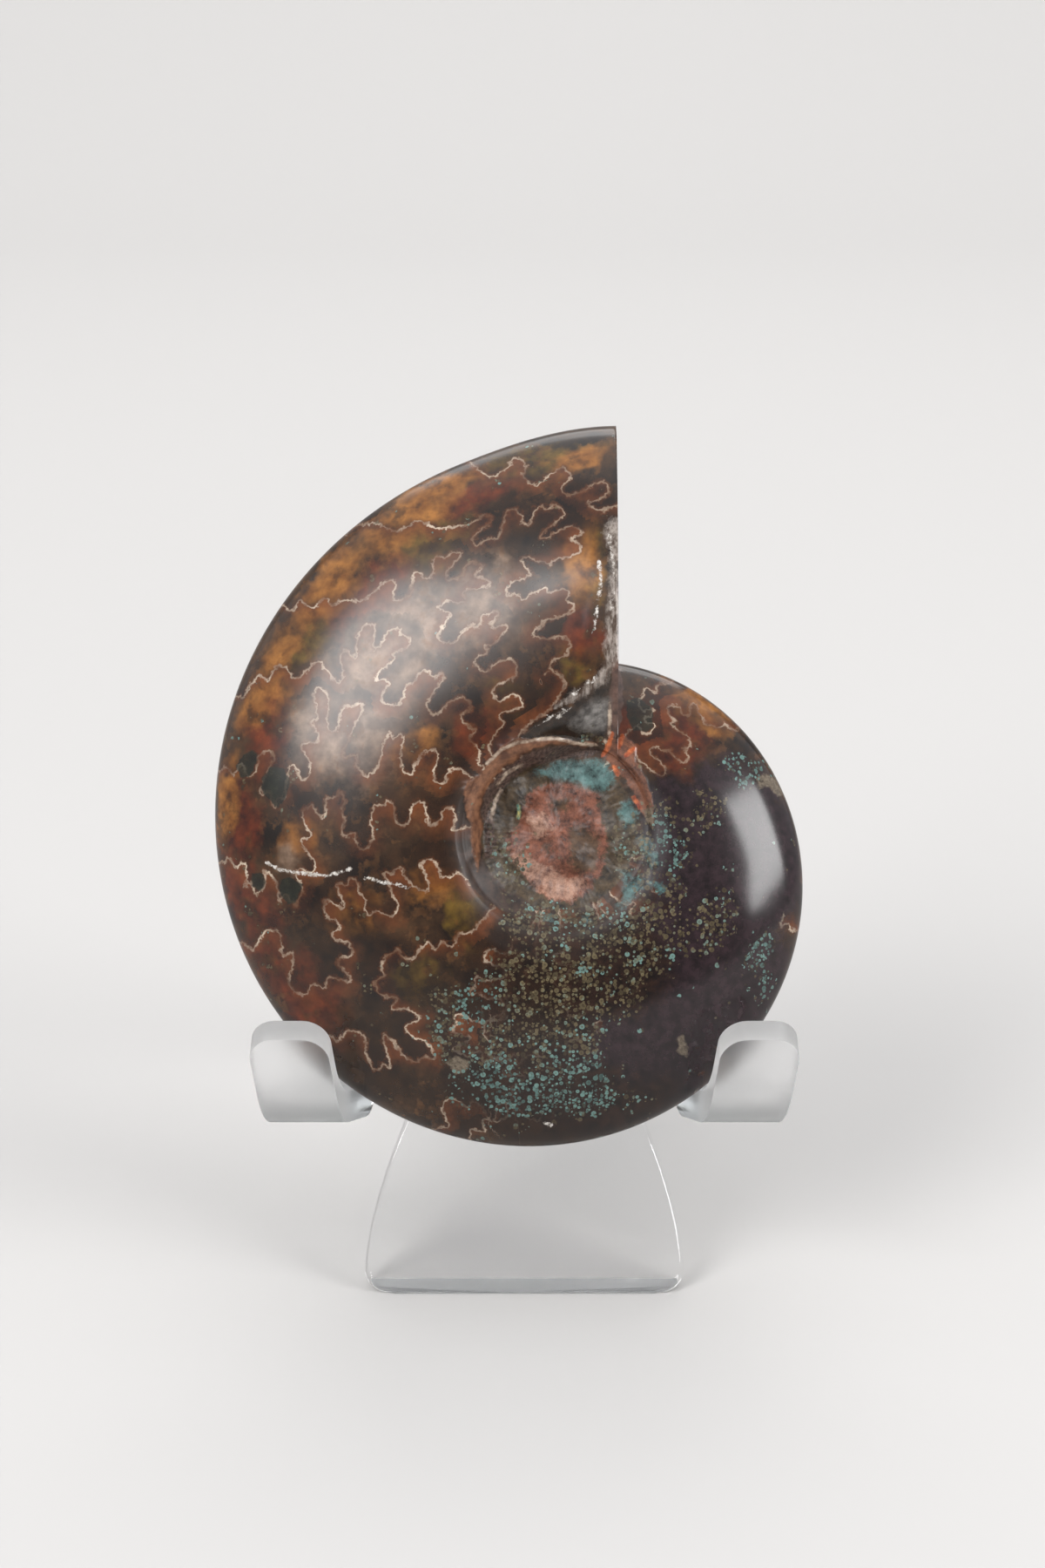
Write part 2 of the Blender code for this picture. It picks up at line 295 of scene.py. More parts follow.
# Suture lines, the edges of the chamber walls: traced as pixels of the photograph, each from
# the outer rim to the navel. They are in order from the mouth of the coil backwards.
sutureTraces = [
    [(392, 612), (405, 606), (430, 600), (455, 610), (480, 598), (500, 606), (525, 605), (535, 603),
     (541, 597), (550, 593), (560, 592), (564, 598), (560, 604), (553, 609), (546, 613), (543, 620),
     (547, 627), (557, 619), (566, 615), (573, 615), (578, 606), (581, 591), (586, 585), (593, 585),
     (598, 592), (599, 601), (607, 603), (612, 596), (613, 589), (617, 585), (622, 581), (627, 585),
     (633, 581), (641, 581), (648, 588), (645, 594), (636, 600), (627, 607), (621, 614), (627, 617),
     (636, 614), (644, 610), (648, 606), (659, 604), (663, 608), (671, 611), (666, 615), (658, 617),
     (656, 621), (668, 627), (663, 636), (653, 640), (641, 639), (636, 641), (633, 646), (627, 647),
     (621, 643), (613, 643), (608, 640), (599, 644), (601, 650), (609, 658), (605, 663), (593, 666),
     (587, 669), (586, 674), (580, 680), (584, 683), (597, 682), (599, 688), (607, 686), (618, 679),
     (625, 676), (631, 681), (639, 677), (647, 676), (654, 681), (650, 689), (658, 695), (655, 704),
     (642, 706), (635, 709), (624, 713), (622, 720), (613, 724), (618, 733), (628, 735), (641, 731),
     (651, 733), (650, 742), (652, 750), (642, 757), (633, 760), (632, 770), (627, 774), (639, 774),
     (647, 779), (648, 790), (640, 800), (632, 812), (620, 822), (605, 838), (595, 850)],
    [(330, 700), (345, 690), (358, 698), (372, 688), (383, 694), (395, 688), (408, 690), (423, 686),
     (436, 673), (449, 665), (454, 671), (451, 683), (456, 688), (463, 683), (471, 680), (474, 668),
     (476, 657), (483, 660), (494, 665), (496, 652), (498, 643), (503, 637), (510, 640), (518, 634),
     (529, 635), (524, 646), (513, 659), (515, 666), (529, 661), (535, 650), (546, 644), (547, 649),
     (555, 649), (552, 656), (544, 661), (553, 664), (562, 666), (558, 673), (547, 677), (533, 678),
     (532, 681), (535, 687), (532, 690), (514, 691), (503, 696), (507, 701), (517, 705), (515, 713),
     (507, 719), (504, 726), (503, 731), (511, 735), (520, 737), (527, 733), (532, 724), (541, 717),
     (546, 722), (550, 719), (552, 711), (560, 704), (573, 702), (570, 710), (564, 716), (566, 722),
     (580, 719), (582, 723), (575, 731), (567, 739), (558, 742), (559, 749), (550, 752), (544, 760),
     (547, 766), (554, 771), (561, 770), (566, 762), (578, 759), (587, 757), (593, 767), (592, 777),
     (583, 780), (572, 786), (567, 795), (573, 804), (583, 799), (592, 797), (600, 811), (588, 816),
     (575, 820), (577, 832), (572, 845), (562, 862)],
    [(272, 800), (285, 790), (297, 775), (307, 782), (318, 765), (330, 768), (340, 780), (352, 770),
     (362, 760), (372, 766), (380, 778), (387, 784), (393, 776), (393, 764), (390, 754), (393, 746),
     (399, 745), (403, 752), (408, 754), (411, 743), (410, 733), (414, 723), (424, 718), (431, 720),
     (428, 733), (429, 744), (436, 741), (446, 726), (452, 722), (459, 720), (459, 729), (467, 729),
     (471, 732), (467, 743), (453, 751), (451, 759), (441, 766), (432, 773), (429, 779), (442, 779),
     (446, 784), (439, 796), (439, 807), (446, 809), (459, 807), (464, 799), (468, 786), (474, 784),
     (481, 773), (491, 769), (496, 777), (507, 773), (507, 782), (497, 794), (491, 806), (494, 816),
     (502, 819), (511, 812), (522, 804), (532, 801), (540, 808), (538, 817), (529, 822), (535, 832),
     (545, 838), (540, 850), (550, 862), (552, 880)],
    [(250, 885), (258, 880), (268, 890), (275, 878), (281, 881), (285, 891), (293, 886), (297, 870),
     (305, 862), (312, 863), (314, 870), (306, 885), (301, 901), (301, 913), (309, 908), (315, 926),
     (321, 915), (328, 916), (331, 905), (330, 892), (333, 881), (340, 881), (343, 893), (350, 895),
     (356, 884), (353, 871), (347, 860), (352, 853), (364, 852), (365, 842), (358, 831), (365, 822),
     (365, 812), (361, 800), (364, 790), (372, 792), (377, 800), (378, 812), (376, 831), (381, 841),
     (388, 836), (390, 824), (393, 813), (400, 807), (404, 811), (411, 806), (416, 812), (412, 822),
     (405, 836), (404, 845), (395, 862), (400, 868), (409, 868), (410, 880), (421, 889), (433, 881),
     (435, 868), (438, 858), (442, 851), (445, 842), (452, 847), (464, 843), (462, 855), (459, 866),
     (464, 885), (475, 887), (478, 875), (490, 862), (502, 865), (501, 876), (498, 886), (501, 899),
     (511, 899), (513, 892), (523, 882), (532, 886), (540, 892), (552, 900)],
    [(252, 990), (262, 985), (270, 995), (280, 990), (284, 1002), (281, 1018), (289, 1014), (294, 1027),
     (299, 1024), (305, 1010), (304, 1000), (310, 1002), (317, 1012), (318, 1024), (322, 1034),
     (327, 1028), (334, 1032), (340, 1041), (342, 1030), (348, 1024), (346, 1014), (340, 1007),
     (344, 996), (354, 1002), (362, 999), (361, 990), (354, 978), (346, 967), (355, 961), (356, 956),
     (348, 941), (348, 930), (359, 925), (368, 938), (373, 930), (374, 917), (382, 916), (389, 910),
     (396, 916), (393, 933), (396, 943), (393, 955), (399, 960), (407, 958), (410, 968), (415, 973),
     (421, 974), (424, 966), (429, 960), (427, 950), (426, 940), (431, 925), (439, 925), (446, 920),
     (451, 926), (454, 941), (462, 948), (471, 940), (474, 923), (487, 921), (491, 943), (497, 949),
     (504, 943), (509, 930), (519, 928), (523, 942), (521, 953), (532, 953), (545, 948)],
    [(262, 1090), (272, 1082), (283, 1084), (290, 1092), (296, 1085), (303, 1071), (313, 1068),
     (322, 1072), (325, 1083), (325, 1096), (335, 1094), (337, 1108), (331, 1126), (339, 1139),
     (352, 1141), (360, 1130), (372, 1133), (380, 1122), (390, 1124), (402, 1127), (396, 1115),
     (388, 1109), (389, 1100), (401, 1099), (404, 1092), (399, 1083), (385, 1078), (382, 1071),
     (391, 1064), (386, 1057), (376, 1053), (373, 1043), (373, 1033), (382, 1036), (393, 1042),
     (396, 1037), (388, 1024), (388, 1014), (397, 1016), (403, 1009), (411, 1012), (413, 1026),
     (419, 1034), (419, 1045), (424, 1051), (432, 1045), (441, 1050), (450, 1052), (457, 1042),
     (456, 1034), (449, 1026), (447, 1014), (441, 1007), (442, 1002), (452, 1004), (454, 998), (462, 998),
     (466, 1009), (474, 1017), (484, 1023), (492, 1017), (492, 1011), (485, 1001), (484, 992), (497, 986),
     (503, 995), (507, 1006), (516, 1007), (526, 1002), (535, 1010), (548, 1012)],
    [(322, 1195), (335, 1188), (346, 1198), (357, 1190), (368, 1200), (376, 1188), (388, 1196),
     (396, 1185), (404, 1184), (411, 1189), (417, 1191), (420, 1203), (422, 1214), (431, 1229),
     (440, 1222), (448, 1224), (445, 1208), (440, 1191), (448, 1193), (455, 1199), (464, 1212),
     (476, 1219), (487, 1213), (498, 1216), (495, 1204), (488, 1196), (474, 1190), (465, 1179),
     (473, 1172), (481, 1169), (468, 1159), (450, 1158), (456, 1145), (446, 1145), (438, 1143),
     (434, 1133), (431, 1126), (440, 1120), (440, 1104), (447, 1098), (455, 1091), (463, 1098),
     (473, 1100), (482, 1092), (490, 1082), (500, 1090), (508, 1082), (520, 1086), (527, 1072),
     (540, 1070), (552, 1055), (566, 1042)],
    [(846, 838), (833, 832), (825, 835), (816, 832), (807, 826), (801, 815), (798, 809), (792, 810),
     (793, 818), (789, 821), (783, 818), (780, 812), (773, 812), (767, 810), (769, 820), (776, 829),
     (770, 832), (780, 839), (790, 846), (792, 856), (784, 859), (790, 868), (781, 874), (773, 869),
     (767, 861), (761, 862), (752, 856), (747, 864), (758, 873), (764, 881), (758, 891), (749, 885),
     (738, 876), (730, 872), (720, 868)],
    [(775, 775), (768, 786), (757, 784), (752, 795), (742, 790), (736, 800), (735, 807), (738, 814),
     (750, 815), (746, 823), (740, 824), (741, 829), (751, 832), (748, 840), (738, 842), (733, 834),
     (726, 838), (718, 846)],
]

markings = {
    "spline": 0.14,                  # mm between the points of a drawn suture
    "wobble": 0.2,                   # mm: a traced point nearer than this to the line is let go
    # sutures that shell or the cut hides: (which line it repeats, degrees on round the coil)
    "repeats": [(5, 50), (6, 36), (4, 107), (5, 105), (6, 92), (4, 162), (5, 160), (6, 146)],
    # the last one before the mouth, of which the cut left the outer end
    "beforeCut": [(-12, 46.5), (-10.4, 44.9), (-8.6, 43.4), (-7, 44.2), (-5.6, 45.6), (-4.4, 44.8),
                  (-4.8, 43.4), (-3.4, 42.4), (-1.9, 43.5), (-0.3, 44.3), (0.6, 43.1), (-0.5, 41.9),
                  (0.5, 41), (2.4, 41.9), (4.1, 42.7), (5, 41.6), (4, 40.6), (2.4, 40.2), (4, 39.3),
                  (7.5, 40.2), (8.5, 36)],
    "gridStep": 0.3,                 # mm, for telling lobes from saddles
    "lobeBlur": 5,                   # grid steps
    "waver": 1.5, "waverSize": 3.4,  # mm that the edge of a colour zone wanders, and how often
    "fray": 0.22, "fraySize": 0.9,   # the same for the small patches
    "strokeHalf": 0.17,              # half the width of a scratch or a worn lip
    "outwards": 1.15, "inwards": 0.5,            # how far a suture is drawn on, past rim and navel
}

# Colour zones of the two flanks as soft ellipses: middle x, z, half width, half height in mm and a
# turn in degrees. The back half carries its own, because each face was polished to its own depth.
zones = {
    "front": {
        "amber": [(-27, 31, 5.5, 2.6, 50), (-33.6, 20.5, 6.5, 2.0, 66), (-38.4, 7, 5, 1.3, 88),
                  (-17.5, 38.5, 6, 2.8, 34), (-14, 43, 4.5, 1.6, 22), (15, 17.6, 5, 1.8, -36),
                  (-17, 12.5, 2.6, 1.6, 10), (-30, 2.5, 2.2, 2.0, 80), (1.5, 45.5, 3, 1.4, 8),
                  (-24, -6, 2.2, 3, 70), (-15, -3, 3, 2, 20), (2, 33, 2.0, 4.6, 0)],
        "olive": [(2.6, 31.5, 1.8, 3.2, 5), (-14.5, 35.5, 4.5, 2.6, 30), (-3, 45.5, 7, 1.4, 8),
                  (0.8, 22.5, 2.6, 2.2, 0), (-29, 24.5, 4, 1.5, 55), (-11.5, -7, 1.6, 3, 15),
                  (-7, 18.5, 3, 2, 0), (-17, -14, 3, 3, 0), (3.4, 35.5, 1.6, 2, 0)],
        "rust": [(-34, 14, 4.5, 2.6, 75), (-37, 1, 8, 2.2, 88), (-34.5, -8, 7, 2.6, 104),
                 (-22, 30, 6, 2.0, 48), (-10, 41, 5, 1.6, 18), (11.5, 14.5, 5, 4.0, -30),
                 (-29, -16, 6, 3.5, 115), (2.2, 25.6, 2.2, 2.8, 0), (-9, 14, 3, 3, 0)],
        "dusk": [(3.5, 40, 3.2, 3.4, 0), (-3, 36.5, 5, 2.4, 10), (-20, -20, 9, 6, 40), (-9, -22, 7, 8, 0),
                 (-10, 4, 3.5, 6, 0), (-7, -13, 5, 6, 0), (-25, -10, 5, 5, 0), (-12, 1, 5, 4, 0),
                 (0, -17, 8, 8, 0), (-3, 18, 5, 3, 30)],
        # lighter milky calcite; on the front it lies where the left lamp's highlight falls, so it is partly a
        # painted highlight
        "milkyAndSheen": [(-20, 24, 9, 5, 50), (-25, 15, 5.5, 6, 0), (-9, 29, 4.5, 5, 0), (-31, 0, 1.6, 2.4, 0)],
        "overgrown": [(-3, -16, 7.5, 9, 0), (4, -12, 8, 6, 0), (-8, -24, 6, 4, 0), (0, -28, 13, 5, 0)],
        "plum": [(18.5, 0, 9.5, 11, 0), (14, -14, 13, 9, 0), (6, -25, 12, 6, 10), (13, 4, 5, 6, 0)],
        "grains": [(-0.5, -14, 9, 7.5, 0), (-3, -22, 9, 6, 0), (9, -9, 6, 4.5, 0), (11, 0, 3, 6, 0),
                   (16, 5, 2, 3, 0), (-2, -27.5, 10, 2.4, 0), (20.8, 10, 3, 2, 0), (17.5, -8, 2, 4, 0),
                   (22.6, -13, 1.3, 4.5, 0), (-12.5, -19, 3, 4, 0), (0, -6.5, 8, 2, 0), (7, 1, 2, 4, 0),
                   (-6.8, 0, 2, 4, 0), (3, 13.8, 1.4, 0.8, 0)],
        "teal": [(20.8, 10.2, 3, 2, 0), (22.8, -13, 1.5, 4.2, 0), (-3, -27, 9, 2.6, 0),
                 (11.5, 2, 1.6, 3, 0), (-9, -25, 4, 2, 0), (2, -24, 4, 2, 0), (-10.5, -16, 2, 2, 0)],
    },
    "back": {
        "amber": [(-31, 24, 8, 3, 62), (-20, 34, 7, 4, 40), (-24, 8, 6, 5, 70), (-6, 42, 8, 3, 10),
                  (12, 14, 6, 4, -30), (-12, -20, 7, 4, 150), (18, -10, 5, 6, 30)],
        "olive": [(-8, 32, 6, 5, 20), (-30, -4, 5, 7, 95), (8, -20, 8, 5, 10), (22, 2, 3, 8, 0)],
        "rust": [(-27, 16, 6, 5, 60), (-32, -12, 6, 4, 110), (-14, 40, 5, 2, 25), (2, 24, 4, 5, 0),
                 (16, 8, 6, 4, -40), (2, -28, 9, 3, 0)],
        "dusk": [(-20, -18, 9, 7, 130), (4, 38, 5, 7, 0), (14, -2, 6, 6, 0)],
        "milkyAndSheen": [(-22, 22, 9, 6, 50), (-16, 0, 5, 8, 20), (10, -12, 6, 5, 0)],
        "overgrown": [],
        "plum": [],
        "grains": [(6, -14, 7, 6, 0), (-14, -10, 5, 6, 0)],
        "teal": [(8, -16, 4, 3, 0)],
    },
}

# Small patches with a clear edge, on the front only. These were traced: the height of the face
# there in mm, and the outlines as pixels of the photograph.
patchTraces = {
    # edge of the older shell round the left of the navel, and the steep wall under it
    "ledge": (9, [[(697, 848), (669, 852), (639, 847), (613, 847), (590, 850), (576, 858), (551, 888),
                   (534, 900), (532, 913), (536, 933), (540, 949), (542, 978), (548, 1001), (551, 976),
                   (554, 949), (551, 936), (553, 917), (559, 904), (571, 887), (595, 869), (613, 859),
                   (637, 854), (669, 857), (697, 853)]]),
    "wall": (9, [[(640, 856), (613, 861), (595, 871), (572, 889), (560, 906), (554, 919), (552, 936),
                  (555, 952), (556, 985), (572, 985), (566, 943), (570, 923), (577, 908), (587, 895),
                  (605, 880), (640, 872), (675, 868), (694, 860), (669, 856)]]),
    # bare shell below the navel, and the strip of shell that climbs to the cut
    "dull": (9, [[(527, 979), (542, 976), (553, 985), (561, 1000), (580, 1022), (616, 1042), (613, 1053),
                  (590, 1051), (561, 1036), (540, 1016), (527, 1000)]]),
    "strip": (10, [[(703, 752), (716, 757), (717, 800), (714, 832), (708, 850), (698, 850), (700, 800),
                    (702, 776)]]),
    # shoulder at the foot of the cut face
    "facet": (9, [[(702, 772), (672, 805), (617, 834), (584, 855), (594, 850), (640, 848), (669, 852),
                   (696, 846), (700, 800)]]),
    # filled lobes, nearly black
    "green": (8, [[(273, 893), (268, 878), (276, 866), (288, 860), (294, 868), (290, 882), (283, 893)],
                  [(298, 893), (308, 880), (324, 882), (333, 893), (330, 912), (318, 928), (310, 920),
                   (300, 912)],
                  [(318, 1013), (332, 1008), (347, 1015), (342, 1032), (330, 1040), (320, 1028)],
                  [(720, 803), (736, 800), (750, 812), (752, 832), (742, 841), (728, 838), (719, 822)],
                  [(286, 1004), (298, 1003), (304, 1015), (296, 1024), (287, 1018)]]),
    # bare spots of pale stone
    "buff": (8, [[(779, 1194), (786, 1190), (791, 1202), (789, 1216), (781, 1210)],
                 [(512, 1222), (524, 1213), (538, 1219), (537, 1230), (522, 1234)],
                 [(872, 892), (886, 888), (898, 898), (904, 912), (897, 913), (886, 904), (874, 905)]]),
}

# The others were laid out in mm
patches = {
    # thin flakes of shell at the right of the navel
    "flakes": [[(4.5, 11.3), (5, 13.6), (6.8, 14), (8, 12.7), (7.8, 11.5), (8.3, 10.7), (9.4, 8.6),
                (10.1, 5.8), (10, 3.4), (8.8, 4.9), (8.2, 6.6), (7.1, 8.6), (5.9, 10.2)]],
    # painted highlight, a light patch where the ground shoulder would catch the lamp, and the worn edge of
    # the cut
    "paintedHighlight": [[(0.6, 15.2), (2.2, 16.7), (3.8, 17.8), (4.8, 17.6), (4.7, 15), (3.2, 14.6), (1.8, 14.5)]],
    "worn": [[(4.4, 37.4), (5.3, 38.4), (6.2, 38), (6.2, 23), (5, 21.4), (4.3, 21.8), (4.5, 26), (4.9, 30),
              (5, 34)],
             [(4.6, 21.6), (3, 20.2), (0.6, 18.4), (-1.5, 17), (-0.2, 17.3), (2, 18.4), (4.6, 20)]],
    # soft and bright parts of the stone inside the navel
    "core": [[(-4.5, 6.9), (-2.2, 8.6), (0.7, 8.6), (3.6, 7.5), (4.5, 3.7), (4.8, 2), (4.2, -1.5),
              (2.5, -3.8), (0.4, -5), (-1.9, -4.7), (-4.5, -2.1), (-5.9, 0.3), (-7.1, 2.6), (-5.4, 3.7)]],
    # pale patches: partly pale pink stone, partly painted light where the bowl of the navel faces the lamps
    "corePaleAndLit": [[(-5.4, 1.2), (-3.5, -0.3), (-1.6, -1.2), (0.4, -2.4), (2.2, -2), (2.4, -3), (0.6, -4.6),
                  (-1.6, -4.5), (-4, -2.2), (-5.8, -0.2)],
                 [(-4.4, 4.6), (-2.6, 5.2), (-1.6, 3.4), (-3, 2)]],
    "coreDark": [[(0.4, 3.2), (2, 3.6), (3.6, 3), (4, 0.6), (3.4, -1.4), (1.6, -1.8), (0.4, -0.4)],
                 [(-1.6, 6.8), (0.4, 6.6), (0.2, 5.6), (-1.4, 5.4)], [(-2.6, 1.6), (-1.8, 1.8), (-1.9, 0.6)]],
    # copper-blue crusts
    "crust": [[(-3.3, 9.8), (-1, 11), (2, 11.2), (4.4, 11.2), (5.6, 9.6), (5.2, 7.9), (3.6, 7.7),
               (1, 8.8), (-1.5, 8.9)],
              [(6.3, 6.4), (7.2, 6.8), (8.2, 5.2), (7.9, 4), (6.6, 3.6), (6.2, 5)],
              [(6.2, -1.4), (7.4, -1.8), (7.1, -2.9), (8.6, -2), (9, -2.8), (7.8, -4.2), (6.4, -5.6),
               (5.8, -5.2), (6.5, -4.2), (6.6, -2.8)],
              [(9.3, -2.4), (11.3, -2.9), (11.1, -3.8), (9.8, -3.3)],
              [(8.5, 2.6), (9.5, 2.5), (10.1, 0.8), (10.5, -0.7), (9.8, -1), (9.1, 0.6), (8.4, 1.6)],
              [(-2.4, -6.3), (-1.5, -6.2), (-1.4, -6.8), (-2.3, -6.9)],
              [(2.1, -6.5), (3, -6.7), (2.6, -7.3)]],
    # one more bare spot of pale stone
    "buff": [[(8.8, 5.6), (10, 5.8), (10.1, 3.3), (9.3, 4)]],
}

# Thin marks on the front, as lines in mm
strokes = {
    # bright ground lips of the shell
    "lip": [[(5, 17.5), (5, 13.7), (4.3, 13.1), (3.3, 12.9), (1, 13.1), (-1, 13.6), (-3, 13.5),
             (-5.4, 13.1), (-7.1, 12.4), (-8.8, 10.8)],
            [(-7.7, 8.4), (-6.6, 9.7), (-4.9, 10.7)], [(-8.4, 4.6), (-7.9, 6.6), (-7.2, 7.8)]],
    "ember": [[(4.3, 11.7), (4.9, 12.7), (5.3, 14.4)], [(6.1, 12.7), (6.5, 13.9)], [(6.9, 11.7), (7.8, 12.5)],
              [(5.6, 10.4), (6, 9.6)], [(7.8, 7), (8.5, 5.8)]],
    "glint": [[(-5.3, 6), (-5.2, 5.2), (-5.3, 4.6)]],
    "scratch": [[(-33.8, -0.5), (-32.5, -1.2), (-30.9, -1.5), (-29.2, -1.7), (-27, -1.9), (-25.4, -1.5),
                 (-24.2, -1.1)],
                [(-22.5, -2.1), (-20.7, -2.6), (-19.1, -2.8), (-16.9, -3.4)],
                [(-2.4, -30.2), (-1.6, -30.4)],
                [(3.7, 33.6), (3.9, 31), (3.5, 28), (3.1, 25.4)], [(4.9, 36.8), (5.3, 33), (5.2, 28)],
                [(3.6, 20.6), (2.2, 19.3), (0.8, 18.6)], [(-0.4, 16.9), (-2.4, 15.6), (-3.6, 15)],
                [(0.6, 17.2), (-0.8, 16)]],
}

navel = {
    "matrixRadius": 9.3,             # mm round the middle of the navel
    "matteRadius": 13.5,             # mm, the shell round it is dull as far as here
    "lumps": 0.16, "lumpSize": 1.3,  # mm
    "grit": 0.10, "gritSize": 0.42,
    "ledgeRise": 0.22,
    "flakesRise": 0.16,
    "crustRise": 0.10,
    "striae": 0.05,
    "swell": 0.05, "swellSize": 9.0,
    "chipDepth": 0.45, "chipReach": 1.1, "chipSize": 1.4,
    # the older shell is worn smooth from here (degrees round the navel) to there, in mm from its middle
    "wornFrom": -165, "wornTo": 35, "wornInner": 7.0, "wornOuter": 14.5, "wornPasses": 400,
}


def fromPhoto(pixels, height):
    # Pixels as x and z in mm, where the face stands this many mm high; a pixel is 0.1 mm
    lens = photo["height"] * camera["lens"] / camera["sensor"]
    scale = lens / (camera["distance"] / mm - height)
    fromMiddle = np.array(pixels) - np.array([photo["width"], photo["height"]]) / 2
    return np.round(np.array([camera["x"], camera["z"]]) / mm + fromMiddle * [1, -1] / scale, 1)


def ontoStone(pixels, points):
    # The same where the height is the stone's own: each turn looks it up at the last turn's place
    front = points[points[:, 1] < 0] / mm
    tree = kdtree.KDTree(len(front))
    for k, (x, _, z) in enumerate(front):
        tree.insert((x, z, 0), k)
    tree.balance()
    places = fromPhoto(pixels, 0)
    for _ in range(4):
        heights = [-front[tree.find((x, z, 0))[1], 1] for x, z in places]
        places = fromPhoto(pixels, np.array(heights)[:, None])
    return places


def thinned(line, wobble):
    # Lets go of the points that hardly stand off the line, which are the wobble of the hand
    if len(line) < 3:
        return line
    run = line[-1] - line[0]
    off = line[1:-1] - line[0]
    off = np.abs(run[0] * off[:, 1] - run[1] * off[:, 0]) / np.hypot(run[0], run[1])
    k = int(np.argmax(off)) + 1
    if off[k - 1] <= wobble:
        return line[[0, -1]]
    return np.vstack([thinned(line[:k + 1], wobble)[:-1], thinned(line[k:], wobble)])


def splinePoints(line, spacing):
    # Points evenly spread on a smooth curve through the line's own points
    ends = [2 * line[0] - line[1]], [2 * line[-1] - line[-2]]
    p = np.vstack([ends[0], line, ends[1]])
    drawn = []
    for a, b, c, d in zip(p, p[1:], p[2:], p[3:]):
        for t in np.arange(0, 1, spacing / max(np.linalg.norm(c - b), spacing)):
            bend = (2 * a - 5 * b + 4 * c - d) * t ** 2 + (3 * b - a - 3 * c + d) * t ** 3
            drawn.append((2 * b + (c - a) * t + bend) / 2)
    return np.array(drawn)


def turnedOn(line, degrees):
    # The same suture further back in the coil: turned about the pole, and smaller
    angle = radians(degrees)
    turned = line @ np.array([[cos(angle), sin(angle)], [-sin(angle), cos(angle)]])
    return turned * float(shrink(stone["tipAngle"] + angle))


def allSutures(points):
    traced = ontoStone(sum(sutureTraces, []), points)
    lines, start = [], 0
    for trace in sutureTraces:
        lines.append(thinned(traced[start:start + len(trace)], markings["wobble"]))
        start += len(trace)
    hidden = [turnedOn(lines[k], turn) for k, turn in markings["repeats"]]
    lines = lines[:7] + hidden + lines[7:]
    drawn = [splinePoints(np.array(markings["beforeCut"]), markings["spline"])]
    for line in lines:
        middle = np.array([stone["navelX"], stone["navelZ"]]) / mm
        ends = line[0] * markings["outwards"], line[-1] + (middle - line[-1]) * markings["inwards"]
        drawn.append(splinePoints(np.vstack([[ends[0]], line, [ends[1]]]), markings["spline"]))
    return drawn


def nearestSuture(sutures, places):
    # For places in mm: distance, side (1 towards the mouth, -1 away from it) and every other chamber
    samples, tangents, parity = [], [], []
    for k, line in enumerate(sutures):
        samples.append(line)
        tangents.append(np.gradient(line, axis=0))
        parity += [1 if k % 2 == 0 else -1] * len(line)
    samples, tangents, parity = np.vstack(samples), np.vstack(tangents), np.array(parity)
    tree = kdtree.KDTree(len(samples))
    for k, (x, z) in enumerate(samples):
        tree.insert((x, z, 0), k)
    tree.balance()
    found = [tree.find((x, z, 0))[1:] for x, z in places]
    nearest = np.array([k for k, _ in found])
    away = np.array([distance for _, distance in found])
    across = places - samples[nearest]
    side = np.sign(tangents[nearest, 0] * across[:, 1] - tangents[nearest, 1] * across[:, 0])
    return away, side, parity[nearest]


def blur(grid, reach):
    # Running mean both ways, three times over, which comes close to a soft round blur
    for _ in range(3):
        for axis in (0, 1):
            padded = np.pad(grid, [(reach + 1, reach) if k == axis else (0, 0) for k in (0, 1)], "edge")
            total = np.cumsum(padded, axis=axis)
            size = grid.shape[axis]
            high = np.take(total, range(2 * reach + 1, 2 * reach + 1 + size), axis)
            grid = (high - np.take(total, range(size), axis)) / (2 * reach + 1)
    return grid


def sutureFields(points):
    # seam: mm to the nearest suture, above and below zero in turn from chamber to chamber
    # turn: 1 or -1, and seam times turn is above zero on the mouth's side of the line
    # surround: the side that most of the neighbourhood is on, so lobes and saddles can be told apart
    x, _, z = points.T
    sutures = allSutures(points)
    away, side, parity = nearestSuture(sutures, np.column_stack([x, z]) / mm)
    step = markings["gridStep"]
    gridX, gridZ = np.arange(-48, 32, step), np.arange(-36, 54, step)
    nodes = np.array(np.meshgrid(gridX, gridZ, indexing="ij")).reshape(2, -1).T
    sides = nearestSuture(sutures, nodes)[1].reshape(len(gridX), len(gridZ))
    soft = blur(sides, markings["lobeBlur"])
    column, row = (x / mm - gridX[0]) / step, (z / mm - gridZ[0]) / step
    i, j = column.astype(int), row.astype(int)
    u, v = column - i, row - j
    near = soft[i, j] * (1 - u) * (1 - v) + soft[i + 1, j] * u * (1 - v)
    far = soft[i, j + 1] * (1 - u) * v + soft[i + 1, j + 1] * u * v
    return {"seam": side * parity * np.minimum(away, 4.0), "turn": parity.astype(float),
            "surround": near + far}


def waver(points, size, seed, octaves=3):
    # Smooth wandering value between about -1 and 1, the same on every run; size is in mm
    return np.array([noise.fractal(Vector(p) + Vector((seed, 0, 0)), 0.9, 2.1, octaves)
                     for p in points / (size * mm)])


def zoneField(blobs, x, z):
    weight = np.zeros(len(x))
    for middleX, middleZ, halfX, halfZ, turn in blobs:
        a = radians(turn)
        dx, dz = x / mm - middleX, z / mm - middleZ
        along, across = dx * cos(a) + dz * sin(a), dz * cos(a) - dx * sin(a)
        away = np.hypot(along / halfX, across / halfZ)
        weight = np.maximum(weight, smooth((1.45 - away) / 0.9))
    return weight


